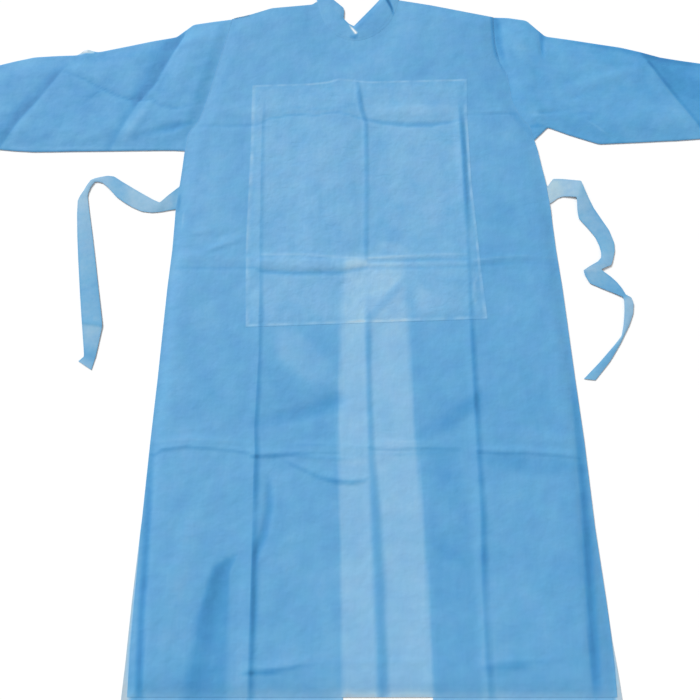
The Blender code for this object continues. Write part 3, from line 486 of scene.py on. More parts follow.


# Folds of the front and the patch, left to right and bottom to top as they lie; their tints are mostly
# painted shade in the hollows and painted highlight on the lit ridges
bodyFolds = [
    # upright packing folds
    fold(0.0011, 1.32, [(-0.1745, 0.000, 0.012, 0.70), (-0.1748, 0.050, 0.012, 0.80), (-0.1750, 0.100, 0.013, 1.00),
                        (-0.1755, 0.150, 0.014, 1.15), (-0.1762, 0.200, 0.013, 0.80), (-0.1770, 0.260, 0.011, 0.40),
                        (-0.1778, 0.310, 0.013, 0.85), (-0.1782, 0.360, 0.011, 0.75), (-0.1800, 0.395, 0.009, 0.50),
                        (-0.1785, 0.450, 0.010, 0.60), (-0.1780, 0.523, 0.009, 0.45), (-0.1790, 0.594, 0.010, 0.65),
                        (-0.1805, 0.650, 0.008, 0.30), (-0.1819, 0.700, 0.008, 0.30), (-0.1850, 0.831, 0.009, 0.30),
                        (-0.1871, 0.956, 0.009, 0.30), (-0.1850, 1.020, 0.008, 0.0)],
         lean=0.5, tintShare=0.60, tintLean=-0.72),
    fold(0.0008, 1.20, [(0.0172, 0.000, 0.015, 0.95), (0.0168, 0.050, 0.015, 0.95), (0.0150, 0.110, 0.015, 0.85),
                        (0.0138, 0.160, 0.017, 0.95), (0.0122, 0.200, 0.016, 1.00), (0.0095, 0.260, 0.015, 1.00),
                        (0.0068, 0.320, 0.012, 0.70), (0.0045, 0.350, 0.010, 0.60), (0.0040, 0.395, 0.009, 0.75),
                        (0.0020, 0.450, 0.009, 0.72), (0.0013, 0.510, 0.009, 0.80), (0.0010, 0.550, 0.011, 0.90),
                        (0.0005, 0.578, 0.010, 0.45), (0.0000, 0.600, 0.008, 0.10), (-0.0002, 0.672, 0.006, 0.0)],
         lean=0.2, tintShare=0.90, tintShift=-0.08, tintLean=-0.12),
    fold(0.0009, 0.85, [(-0.0002, 0.690, 0.007, 0.3), (-0.0004, 0.720, 0.009, 0.75), (0.0008, 0.780, 0.008, 0.45),
                        (0.0015, 0.859, 0.008, 0.65), (0.0010, 0.956, 0.008, 0.90), (-0.0070, 0.986, 0.009, 1.1),
                        (-0.0110, 1.016, 0.009, 1.0), (-0.0140, 1.046, 0.007, 0.3)], lean=0.3, tintShare=0.8),
    fold(0.0010, 1.00, [(0.1765, 0.000, 0.012, 0.60), (0.1735, 0.051, 0.012, 0.75), (0.1735, 0.110, 0.010, 0.45),
                        (0.1735, 0.150, 0.011, 0.65), (0.1745, 0.200, 0.012, 0.95), (0.1767, 0.250, 0.012, 0.95),
                        (0.1762, 0.300, 0.011, 0.75), (0.1755, 0.360, 0.010, 0.65), (0.1750, 0.430, 0.011, 0.85),
                        (0.1742, 0.540, 0.010, 0.85), (0.1740, 0.594, 0.009, 0.55), (0.1745, 0.650, 0.008, 0.40),
                        (0.1749, 0.740, 0.009, 0.35), (0.1745, 0.806, 0.011, 1.05), (0.1745, 0.900, 0.012, 1.30),
                        (0.1735, 0.950, 0.012, 1.20), (0.1730, 0.974, 0.010, 0.60), (0.1700, 1.010, 0.008, 0.0)],
         lean=0.4, tintShare=0.70, tintLean=-0.35),
    # first level fold above the hem
    fold(0.0, 0.34, [(-0.170, 0.022, 0.014, 0.8), (-0.140, 0.024, 0.018, 1.0), (-0.108, 0.030, 0.012, 0.6),
                     (-0.090, 0.036, 0.008, 0.0)], tintShare=1.0),
    fold(0.0008, 1.00, [(-0.190, 0.034, 0.008, 0.0), (-0.175, 0.036, 0.009, 1.0), (-0.143, 0.038, 0.010, 1.0),
                        (-0.108, 0.043, 0.008, 0.6), (-0.080, 0.047, 0.007, 0.1)], lean=0.4, tintShift=-0.35, tintShare=0.7),
    fold(0.0006, 0.15, [(-0.080, 0.046, 0.007, 0.3), (0.016, 0.048, 0.007, 0.5), (0.120, 0.050, 0.007, 0.3)]),
    fold(0.0008, 0.66, [(0.172, 0.041, 0.010, 0.6), (0.190, 0.044, 0.013, 1.0), (0.215, 0.046, 0.013, 0.9),
                        (0.240, 0.049, 0.009, 0.4), (0.280, 0.051, 0.007, 0.1)], tintShift=-0.3, tintShare=0.9),
    # second level fold
    fold(0.0008, 0.56, [(-0.3420, 0.354, 0.006, 0.5), (-0.3394, 0.354, 0.007, 0.7), (-0.3257, 0.362, 0.007, 0.8),
                        (-0.2910, 0.367, 0.008, 1.0), (-0.2510, 0.3645, 0.008, 0.8), (-0.2100, 0.360, 0.007, 0.7),
                        (-0.1886, 0.357, 0.007, 0.6)], lean=0.3, tintShift=-0.3, tintShare=0.6),
    fold(0.0009, 0.62, [(-0.1820, 0.3520, 0.009, 1.1), (-0.1500, 0.3535, 0.010, 1.2), (-0.1138, 0.356, 0.009, 0.8),
                        (-0.0800, 0.357, 0.007, 0.4), (-0.045, 0.357, 0.006, 0.3)], lean=0.3, tintShift=-0.3, tintShare=0.6),
    fold(0.0004, 0.25, [(-0.1500, 0.366, 0.005, 0.2), (-0.1000, 0.368, 0.006, 1.0), (-0.0350, 0.366, 0.006, 0.8),
                        (0.0000, 0.364, 0.006, 0.3)]),
    fold(0.0006, 0.30, [(-0.1200, 0.351, 0.005, 0.2), (-0.1070, 0.3493, 0.007, 0.9), (-0.0470, 0.346, 0.007, 0.9),
                        (-0.0200, 0.345, 0.005, 0.2)], tintShare=0.7),
    fold(0.0008, 0.80, [(-0.1350, 0.346, 0.006, 0.0), (-0.1207, 0.339, 0.008, 0.6), (-0.0736, 0.3175, 0.009, 0.7),
                        (-0.0500, 0.3120, 0.010, 1.1), (-0.0250, 0.3105, 0.010, 1.1), (-0.0070, 0.313, 0.008, 0.7),
                        (0.0060, 0.318, 0.006, 0.0)], lean=0.3, tintShift=-0.2, tintShare=0.65),
    fold(0.0007, 0.56, [(0.004, 0.364, 0.006, 0.6), (0.036, 0.362, 0.007, 0.9), (0.075, 0.364, 0.007, 0.9),
                        (0.113, 0.364, 0.007, 0.7), (0.150, 0.362, 0.006, 0.4)], lean=0.4, tintShift=-0.3, tintShare=0.6),
    fold(0.0003, 0.42, [(0.004, 0.354, 0.005, 0.3), (0.050, 0.353, 0.006, 0.8), (0.110, 0.356, 0.006, 0.5),
                        (0.150, 0.357, 0.005, 0.1)], tintShare=0.8),
    fold(0.0009, 0.45, [(0.176, 0.359, 0.007, 0.9), (0.210, 0.357, 0.008, 1.1), (0.254, 0.357, 0.008, 0.9),
                        (0.300, 0.353, 0.007, 0.8), (0.336, 0.349, 0.006, 0.6)], lean=0.4, tintShift=-0.35, tintShare=0.6),
    fold(0.0, 0.36, [(0.172, 0.352, 0.014, 0.6), (0.200, 0.347, 0.018, 0.9), (0.2335, 0.342, 0.022, 1.2),
                     (0.270, 0.340, 0.022, 0.8), (0.330, 0.338, 0.018, 0.5)], tintShare=1.0, tintLean=-0.3),
    fold(0.0006, -0.16, [(0.180, 0.385, 0.014, 0.8), (0.240, 0.384, 0.017, 1.0), (0.335, 0.376, 0.013, 0.8)],
         tintShare=0.9),
    fold(0.0006, -0.24, [(0.004, 0.371, 0.005, 0.4), (0.040, 0.372, 0.006, 1.0), (0.075, 0.373, 0.006, 0.9),
                         (0.110, 0.371, 0.006, 0.3), (0.150, 0.370, 0.005, 0.0)]),
    fold(0.0007, -0.16, [(-0.335, 0.373, 0.007, 0.6), (-0.290, 0.378, 0.008, 1.0), (-0.240, 0.375, 0.008, 0.8),
                         (-0.190, 0.370, 0.007, 0.5)]),
    # third level fold, a raised band between two lines
    fold(0.0013, -0.16, [(-0.330, 0.690, 0.012, 0.2), (-0.300, 0.693, 0.014, 0.5), (-0.262, 0.692, 0.013, 0.4),
                         (-0.200, 0.688, 0.010, 0.2), (-0.180, 0.683, 0.016, 0.9), (-0.114, 0.680, 0.017, 1.0),
                         (-0.042, 0.678, 0.016, 1.0), (-0.004, 0.682, 0.011, 0.6)], tintShare=0.9),
    fold(-0.0006, 0.68, [(-0.325, 0.672, 0.007, 0.4), (-0.257, 0.671, 0.008, 0.6), (-0.190, 0.672, 0.006, 0.4),
                         (-0.180, 0.666, 0.008, 1.0), (-0.150, 0.663, 0.009, 1.4), (-0.113, 0.662, 0.009, 1.3),
                         (-0.042, 0.663, 0.009, 1.0), (0.001, 0.672, 0.007, 0.8)], tintShare=0.65),
    fold(0.0003, -0.55, [(-0.179, 0.697, 0.005, 1.0), (-0.114, 0.697, 0.005, 0.9), (-0.042, 0.691, 0.005, 0.8),
                         (-0.004, 0.689, 0.004, 0.4)], tintShare=0.8),
    fold(0.0005, -0.70, [(0.004, 0.6905, 0.004, 0.7), (0.030, 0.6920, 0.005, 1.0), (0.060, 0.6935, 0.005, 1.0),
                         (0.090, 0.6945, 0.005, 0.7), (0.146, 0.6980, 0.005, 0.6), (0.172, 0.6980, 0.004, 0.3)],
         tintShare=0.8),
    fold(-0.0004, 0.50, [(0.004, 0.6840, 0.006, 0.8), (0.040, 0.6850, 0.006, 1.0), (0.079, 0.6860, 0.006, 0.9),
                         (0.130, 0.6880, 0.006, 0.7), (0.172, 0.6880, 0.006, 0.5)], tintShare=0.8),
    fold(0.0003, -0.14, [(0.004, 0.678, 0.006, 0.9), (0.078, 0.680, 0.006, 0.8), (0.169, 0.680, 0.006, 0.6)],
         tintShare=0.8),
    fold(-0.0004, 0.28, [(0.008, 0.671, 0.006, 1.0), (0.078, 0.672, 0.006, 0.9), (0.130, 0.673, 0.006, 0.7),
                         (0.174, 0.674, 0.006, 0.7)], tintShare=0.8),
    fold(0.0007, -0.46, [(0.186, 0.686, 0.007, 0.8), (0.223, 0.691, 0.007, 1.0), (0.264, 0.694, 0.007, 0.7),
                         (0.326, 0.692, 0.006, 0.3)]),
    fold(-0.0003, 0.22, [(0.186, 0.676, 0.006, 0.9), (0.223, 0.679, 0.006, 1.0), (0.264, 0.682, 0.006, 0.5),
                         (0.326, 0.680, 0.006, 0.4)], tintShare=0.8),
    # fourth level fold, wavy across the chest
    fold(-0.0005, 0.46, [(-0.297, 0.951, 0.007, 0.5), (-0.246, 0.951, 0.008, 0.8), (-0.200, 0.952, 0.007, 0.6),
                         (-0.183, 0.955, 0.006, 0.2)], tintShare=0.8),
    fold(-0.0006, 0.62, [(-0.190, 0.957, 0.005, 0.3), (-0.175, 0.965, 0.005, 0.8), (-0.130, 0.974, 0.006, 0.9),
                         (-0.089, 0.971, 0.005, 0.7), (-0.058, 0.979, 0.005, 0.8), (-0.030, 0.973, 0.005, 0.5),
                         (-0.012, 0.966, 0.006, 0.6)], tintShare=0.7),
    fold(0.0004, 0.42, [(-0.165, 0.984, 0.004, 0.0), (-0.120, 0.987, 0.005, 1.0), (-0.085, 0.983, 0.005, 0.5),
                        (-0.050, 0.990, 0.004, 0.7), (-0.020, 0.986, 0.004, 0.0)], tintShare=0.7),
    fold(-0.0007, 0.75, [(-0.012, 0.966, 0.006, 0.4), (0.005, 0.961, 0.008, 0.7), (0.029, 0.956, 0.009, 1.0),
                         (0.075, 0.951, 0.011, 1.2), (0.120, 0.952, 0.010, 1.1), (0.150, 0.957, 0.008, 0.8),
                         (0.172, 0.962, 0.006, 0.3)], tintShare=0.75, tintLean=0.25),
    fold(0.0011, -0.30, [(0.000, 0.985, 0.010, 0.3), (0.030, 0.980, 0.018, 0.8), (0.086, 0.983, 0.022, 1.0),
                         (0.140, 0.986, 0.020, 0.9), (0.172, 0.988, 0.010, 0.2)], tintShare=0.85),
    fold(0.0010, -0.26, [(-0.262, 0.985, 0.014, 0.2), (-0.230, 0.983, 0.020, 0.9), (-0.200, 0.982, 0.022, 1.0),
                         (-0.168, 0.990, 0.012, 0.2)], tintShare=0.9),
    fold(0.0005, -0.22, [(0.183, 0.980, 0.005, 0.5), (0.239, 0.981, 0.005, 1.0), (0.289, 0.984, 0.005, 0.5)]),
    fold(-0.0004, 0.30, [(0.183, 0.974, 0.005, 0.5), (0.239, 0.975, 0.005, 0.8), (0.289, 0.978, 0.005, 0.5)]),
    # along the sides, where the gown was turned in
    fold(-0.0012, 1.22, [(-0.343, 0.380, 0.008, 0.0), (-0.343, 0.340, 0.010, 0.6), (-0.3415, 0.265, 0.011, 0.9),
                         (-0.3400, 0.184, 0.011, 0.9), (-0.3395, 0.110, 0.011, 1.0), (-0.3370, 0.060, 0.011, 1.0),
                         (-0.3340, 0.000, 0.010, 0.9)], tintShare=0.9),
    fold(-0.0012, 1.14, [(0.335, 0.500, 0.009, 0.0), (0.335, 0.436, 0.011, 0.45), (0.3355, 0.367, 0.012, 0.7),
                         (0.3355, 0.298, 0.012, 0.9), (0.3340, 0.222, 0.013, 1.0), (0.3305, 0.113, 0.014, 1.0),
                         (0.3285, 0.045, 0.014, 1.1), (0.3280, 0.012, 0.012, 0.7), (0.3280, 0.000, 0.010, 0.3)],
         tintShare=0.9, tintLean=0.3),
    # hollows of the lower panels, with painted shade and painted light laid over them
    fold(-0.0010, 0.84, [(-0.2005, 0.2000, 0.003, 0.3), (-0.2140, 0.1850, 0.009, 0.85), (-0.2229, 0.1728, 0.0150, 1.0),
                         (-0.2300, 0.0999, 0.0262, 1.0), (-0.2344, 0.0000, 0.0340, 0.9)],
         tintShare=1.18, tintLean=-0.10, plateau=0.50),
    fold(0.0, 0.20, [(-0.2150, 0.205, 0.012, 0.2), (-0.2350, 0.160, 0.024, 0.8), (-0.2500, 0.110, 0.034, 1.0),
                     (-0.2620, 0.050, 0.040, 1.0), (-0.2700, 0.000, 0.042, 0.9)], tintShare=1.0),
    fold(0.0, -0.14, [(-0.190, 0.175, 0.007, 0.3), (-0.190, 0.120, 0.009, 1.0), (-0.190, 0.050, 0.010, 1.0),
                      (-0.189, 0.005, 0.008, 0.6)], tintShare=0.9),
    fold(-0.0012, 0.66, [(-0.158, 0.325, 0.005, 0.0), (-0.1545, 0.300, 0.010, 0.8), (-0.1530, 0.270, 0.011, 1.0),
                         (-0.1600, 0.228, 0.011, 1.0), (-0.1690, 0.205, 0.010, 0.7), (-0.1730, 0.188, 0.008, 0.3)],
         tintShare=0.85, plateau=0.2),
    fold(-0.0012, 0.46, [(-0.176, 0.405, 0.014, 0.5), (-0.145, 0.409, 0.018, 0.9), (-0.109, 0.417, 0.019, 1.0),
                         (-0.075, 0.428, 0.020, 1.0), (-0.0475, 0.440, 0.022, 1.1)], tintShare=0.95, plateau=0.1),
    fold(0.0, 0.50, [(0.178, 0.445, 0.010, 0.6), (0.1663, 0.434, 0.018, 1.0), (0.1246, 0.401, 0.020, 1.0),
                     (0.084, 0.380, 0.016, 0.6), (0.060, 0.372, 0.008, 0.0)], tintShare=1.0, plateau=0.1),
    fold(0.0, 0.34, [(0.118, 0.345, 0.034, 0.5), (0.124, 0.260, 0.040, 0.9), (0.128, 0.120, 0.042, 1.0),
                     (0.128, 0.000, 0.042, 1.0)], tintShare=1.0, plateau=0.6),
    fold(0.0, -0.58, [(-0.160, 0.560, 0.020, 0.3), (-0.120, 0.525, 0.042, 1.0), (-0.085, 0.495, 0.042, 1.0),
                      (-0.050, 0.470, 0.018, 0.5)], tintShare=1.0, plateau=0.3),
    fold(0.0, 0.20, [(-0.330, 0.600, 0.020, 0.6), (-0.290, 0.540, 0.036, 1.0), (-0.260, 0.470, 0.030, 0.8),
                     (-0.230, 0.430, 0.020, 0.3)], tintShare=1.0),
    fold(0.0010, -0.18, [(-0.255, 0.310, 0.020, 0.0), (-0.265, 0.250, 0.030, 1.0), (-0.285, 0.180, 0.022, 0.8),
                         (-0.300, 0.110, 0.016, 0.5), (-0.305, 0.030, 0.012, 0.4)], tintShare=0.9),
    # chest and shoulders
    fold(0.0012, -0.18, [(-0.280, 0.700, 0.010, 0.0), (-0.266, 0.707, 0.008, 1.0), (-0.243, 0.717, 0.007, 1.0),
                         (-0.218, 0.726, 0.006, 0.3)]),
    fold(-0.0008, 0.22, [(-0.270, 0.728, 0.006, 0.0), (-0.245, 0.733, 0.006, 1.0), (-0.222, 0.742, 0.005, 0.2)]),
    fold(0.0008, -0.20, [(-0.315, 0.742, 0.005, 0.0), (-0.290, 0.738, 0.006, 1.0), (-0.268, 0.745, 0.006, 0.4)]),
    # puckers at the root of the left tie
    fold(0.0004, -0.55, [(-0.3195, 0.776, 0.003, 0.6), (-0.3188, 0.760, 0.004, 1.0), (-0.3190, 0.746, 0.003, 0.4)],
         tintShare=1.0),
    fold(-0.0004, 0.90, [(-0.3275, 0.812, 0.004, 0.6), (-0.3280, 0.796, 0.005, 1.0), (-0.3285, 0.780, 0.004, 0.5)],
         tintShare=1.0),
    fold(-0.0014, 1.30, [(0.2440, 1.190, 0.009, 0.8), (0.2450, 1.165, 0.011, 1.0), (0.2460, 1.135, 0.014, 1.0),
                         (0.2490, 1.105, 0.012, 0.9), (0.2560, 1.080, 0.008, 0.5), (0.2620, 1.050, 0.006, 0.0)],
         tintShare=0.80),
    fold(-0.0010, 0.40, [(0.255, 0.995, 0.010, 0.0), (0.272, 0.975, 0.013, 1.0), (0.290, 0.950, 0.012, 0.9),
                         (0.302, 0.930, 0.010, 0.8)], tintShare=0.9),
    fold(0.0, 0.35, [(-0.2560, 1.175, 0.020, 1.0), (-0.2430, 1.150, 0.020, 0.7), (-0.2300, 1.110, 0.016, 0.0)],
         tintShare=1.0),
    fold(0.0, 0.26, [(-0.248, 1.090, 0.012, 0.5), (-0.262, 1.045, 0.014, 1.0), (-0.276, 1.005, 0.012, 0.6)],
         tintShare=0.9),
    fold(0.0, 0.13, [(-0.225, 1.200, 0.045, 1.0), (-0.235, 1.100, 0.045, 1.0), (-0.260, 1.020, 0.035, 0.4)],
         tintShare=1.0, plateau=0.3),
    fold(0.0, 0.13, [(0.220, 1.200, 0.045, 1.0), (0.228, 1.100, 0.045, 1.0), (0.250, 1.020, 0.035, 0.4)],
         tintShare=1.0, plateau=0.3),
    # the single layer between the backs: the inner tie shows through, the cloth just above the third fold
    # carries painted light, and the hem pales with painted light
    fold(0.0003, 0.52, [(0.0640, 0.652, 0.008, 0.3), (0.0560, 0.640, 0.010, 1.0), (0.0300, 0.610, 0.011, 1.0),
                        (0.0080, 0.585, 0.010, 1.0), (-0.004, 0.572, 0.007, 0.0)], tintShare=1.0, plateau=0.2),
    fold(0.0, 0.22, [(0.0600, 0.615, 0.010, 0.3), (0.0400, 0.590, 0.018, 1.0), (0.0200, 0.566, 0.014, 0.8),
                     (0.0150, 0.550, 0.008, 0.2)], tintShare=1.0),
    fold(0.0, -0.34, [(0.010, 0.702, 0.008, 0.3), (0.030, 0.712, 0.013, 1.0), (0.055, 0.708, 0.013, 1.0),
                      (0.075, 0.700, 0.008, 0.4)], tintShare=1.0, plateau=0.2),
    fold(0.0, -0.42, [(0.080, 0.660, 0.012, 0.3), (0.092, 0.620, 0.022, 1.0), (0.096, 0.590, 0.016, 0.4)],
         tintShare=1.0),
    fold(0.0, -0.20, [(0.085, 0.950, 0.060, 1.0), (0.085, 0.770, 0.060, 1.0)], tintShare=1.0, plateau=0.5),
    fold(0.0, 0.16, [(0.100, 0.655, 0.030, 1.0), (0.150, 0.630, 0.030, 1.0)], tintShare=1.0, plateau=0.3),
    fold(0.0, -0.40, [(-0.032, 0.680, 0.008, 0.5), (-0.018, 0.680, 0.011, 1.0), (-0.004, 0.680, 0.008, 0.6)],
         tintShare=1.0, plateau=0.2),
    fold(0.0006, -0.55, [(0.1920, 0.668, 0.003, 0.3), (0.1815, 0.640, 0.004, 1.0), (0.1800, 0.618, 0.004, 0.8),
                         (0.1870, 0.600, 0.003, 0.2)], tintShare=0.8),
    fold(0.0, -0.42, [(-0.040, 0.000, 0.014, 1.0), (0.010, 0.000, 0.014, 1.2), (0.092, 0.000, 0.014, 1.1)],
         tintShare=1.0),
    fold(0.0, -0.28, [(0.100, 0.000, 0.012, 0.8), (0.200, 0.000, 0.012, 1.0), (0.310, 0.000, 0.010, 0.5)],
         tintShare=1.0),
    fold(0.0, -0.35, [(-0.034, 0.341, 0.010, 0.7), (-0.020, 0.341, 0.012, 1.0), (-0.006, 0.341, 0.009, 0.6)],
         tintShare=1.0),
]

bodyLook = {
    "puff": 0.0020,            # the panels between the folds stand up by this much
    "puffEdge": 0.030,
    "tieRoot": 0.815, "hemFall": 0.0004,       # the edge stays up over the roots of the ties
    "thinner": 0.0003, "thinWidth": 0.006,     # at the armholes and the shoulders, pressed flat
    "rimFall": 0.0011, "rimWidth": 0.020,      # hem and sides come down to the table
    "depthByHeight": [(0.0, 1.04), (0.20, 1.06), (0.45, 1.14), (0.60, 1.10), (0.80, 1.02), (1.00, 1.06),
                      (1.20, 1.14)],
    "rightDeeper": 0.08,
    "blotch": [(0.130, 0.20, 5), (0.050, 0.24, 6), (0.021, 0.12, 7)],       # size, tint, seed
    "patchLighter": 0.36, "patchFootLighter": 0.46, "patchOnBand": 0.30,
    # along the hem the colour is made paler, a painted light where the cloth slopes down away from the lamp
    "palest": -0.42, "palestWeld": -0.82, "hemPaintedLight": 0.46,
    "bandDepth": (0.90, 1.04),  # how much the single layer takes off at the hem and at the top
    "swell": 0.0010, "swellSize": 0.110,
    "waver": 0.00055, "waverSize": 0.030,
    "weldIn": 0.0030, "weldWidth": 0.0032, "weldTint": -0.95,
    "patchWall": 0.4, "patchLift": (0.00022, 0.00055),
}


def bandMask(x, y):
    # how much of the colour is gone where only the front lies on the table, between the two backs
    left = rounded(opening["left"], y, 0.01)
    right = rounded(opening["right"], np.minimum(y, opening["bandHead"] - 0.08), 0.01)
    blur = opening["edgeBlur"] * (1 + smooth(y, 0.45, 0.60))
    across = smooth(x, left - blur, left + blur) * (1 - smooth(x, right - blur, right + 1.4 * blur))
    return across * (1 - smooth(y, opening["bandHead"] - 0.014, opening["bandHead"] + 0.010))


def bandLighter(x, y):
    return bandMask(x, y) * mix(*bodyLook["bandDepth"], smooth(y, 0.05, 0.45))


def lapMask(x, y):
    return (smooth(y, *opening["lapFoot"]) * (1 - smooth(y, *opening["lapHead"]))
            * smooth(x, *opening["lapFar"]))


def blotched(x, y, scale=1.0):
    return scale * sum(tint * ripple(x, y, size, seed) for size, tint, seed in bodyLook["blotch"])


def bodySurface(x, y, edge):
    # lift above the plain layers and depth of colour at any place of the body, with the folds' painted shade
    # and highlight and a painted light along the hem
    lift, depth = creased(x, y, bodyFolds)
    free = smooth(edge, 0.0, bodyLook["puffEdge"])
    swell = bodyLook["swell"] * ripple(x, y, bodyLook["swellSize"], 1)
    waver = bodyLook["waver"] * ripple(x, y, bodyLook["waverSize"], 2)
    lift = np.maximum(0.0001, free * (bodyLook["puff"] + lift + swell + waver))
    depth = depth + rounded(bodyLook["depthByHeight"], y, 0.05) + bodyLook["rightDeeper"] * smooth(x, 0.08, 0.24)
    depth = depth + blotched(x, y) - bandLighter(x, y)
    return lift, np.maximum(depth, bodyLook["palest"]) - bodyLook["hemPaintedLight"] * (1 - smooth(y, 0.0, 0.016))


x, y, rowMarks, columnMarks = bodyGrid()
edgeTop = rounded(body["topEdge"], x, 0.003) - y
edge = np.minimum(np.minimum(x - x[:, :1], x[:, -1:] - x), np.minimum(y + 0.004, edgeTop + 0.002))
lift, depth = bodySurface(x, y, edge)
notchAway = np.hypot(x + 0.0205, (y - 1.21) * 0.9)
lift = np.maximum(0.0001, lift * smooth(notchAway, 0.075, 0.13))
lap = lapMask(x, y) * (1 - smooth(x, *opening["lapNear"]))
base = 2 * shared["ply"] - 0.0003
rimFall = bodyLook["rimFall"] * (1 - smooth(edge, 0.0, bodyLook["rimWidth"])) * (1 - smooth(y, 0.84, 0.90))
rimFall = rimFall * smooth(np.abs(y - bodyLook["tieRoot"]), 0.030, 0.060)
rimFall = rimFall + bodyLook["hemFall"] * (1 - smooth(y, 0.0, 0.012))
armhole = (1 - smooth(edge, 0.0, bodyLook["thinWidth"])) * smooth(y, 0.90, 0.93)
frontTop = base + shared["ply"] * lap + lift - rimFall - bodyLook["thinner"] * armhole
frontWall = shared["wall"] - bodyLook["thinner"] * armhole

for side, column, armpit in (("Left", 1, 0.905), ("Right", -2, 0.926)):
    rising = y[:, column] > armpit
    line = np.stack([x[rising, column], y[rising, column], frontTop[rising, column] + seams["above"]], -1)
    stitching("armholeSeam" + side, line, seams["armhole"])
looseEnds = {
    "looseThreadLeft": [(-0.2490, 1.1860, 0.0031), (-0.2400, 1.1890, 0.0033), (-0.2310, 1.1905, 0.0034),
                        (-0.2190, 1.1940, 0.0034)],
    "looseThreadRight": [(0.2435, 1.1885, 0.0032), (0.2452, 1.1880, 0.0034), (0.2468, 1.1860, 0.0032)],
}
for name, line in looseEnds.items():
    stitching(name, line, seams["looseEnd"])
front = panel("frontPanel", x, y, frontTop, frontWall, depth)
front.data.materials.append(materials["body"])
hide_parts("front")

# The chest patch, welded on round its border
rowsIn = slice(rowMarks["patchFoot"], rowMarks["patchHead"] + 1)
columnsIn = slice(columnMarks["leftPatch"], columnMarks["rightPatch"] + 1)
px, py, pTop, pDepth = (grid[rowsIn, columnsIn] for grid in (x, y, frontTop, depth))
border = np.minimum(np.minimum(px - px[:, :1], px[:, -1:] - px), np.minimum(py - py[:1], py[-1:] - py))
lighter = mix(bodyLook["patchFootLighter"], bodyLook["patchLighter"], smooth(py, 0.6, 0.8))
weld = np.clip(1 - ((border - bodyLook["weldIn"]) / bodyLook["weldWidth"]) ** 2, 0, 1)
broken = 0.65 + 0.9 * ripple(px, py, 0.016, 9)
lighter = lighter * (1 - bandMask(px, py) * (1 - bodyLook["patchOnBand"]))
pDepth = pDepth - lighter * smooth(border, -0.010, 0.020) + bodyLook["weldTint"] * weld * np.clip(broken, 0.15, 1.3)
pDepth = np.maximum(pDepth, bodyLook["palestWeld"])
pTop = pTop + mix(*bodyLook["patchLift"], smooth(border, 0.004, 0.016))
patch = panel("chestPatch", px, py, pTop, bodyLook["patchWall"] * shared["wall"], pDepth)
patch.data.materials.append(materials["patch"])
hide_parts("chest_patch")
print("front and patch made")


# The backs, which lie on the table and show beside the front and through the gap between them

def makeBack(side):
    sign = -1 if side == "left" else 1
    sideX, sideY = (x[:, 0], y[:, 0]) if side == "left" else (x[:, -1], y[:, -1])
    level = (y[:, 0] + y[:, -1]) / 2
    peek = rounded(opening["peeks"][side], level, 0.01)
    free = rounded(opening[side], level, 0.006)
    parts = np.linspace(0, 1, 44)
    bx = mix((sideX + sign * peek)[:, None], free[:, None], parts)
    by = mix(sideY[:, None], level[:, None], parts)
    rise = ramp(y[:, -1], body["rows"][-2][2], body["rows"][-1][2])[:, None]
    topY = np.minimum(rounded(body["topEdge"], bx, 0.003) - 0.003, 1.214)
    by = np.where(rise > 0, mix(by, topY, rise), by)
    by[:, 0] = sideY
    by = by - opening["drop"] * (1 - ramp(by, 0.0, 0.030))
    inward = np.abs(bx - bx[:, :1])
    bLift, bDepth = bodySurface(bx, by, np.minimum(inward, 0.05))
    low = shared["backShare"] * bLift * smooth(inward, 0.0, 0.02) * smooth(by, 0.0, 0.05)
    if side == "left":
        low = low + shared["ply"] * lapMask(bx, by)
    bDepth = bDepth + bandLighter(bx, by)
    bare = (1 - smooth(inward - peek[:, None], -0.001, 0.003)) * smooth(peek, 0.0, 0.002)[:, None]
    bDepth = mix(bDepth, opening["peekDepth"], bare)
    piece = panel("backPanel" + side.title(), bx, by, low + shared["wall"], shared["wall"], bDepth)
    piece.data.materials.append(materials["body"])
    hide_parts("back_" + side)
    return piece


makeBack("right")
makeBack("left")


# Sleeves and cuffs

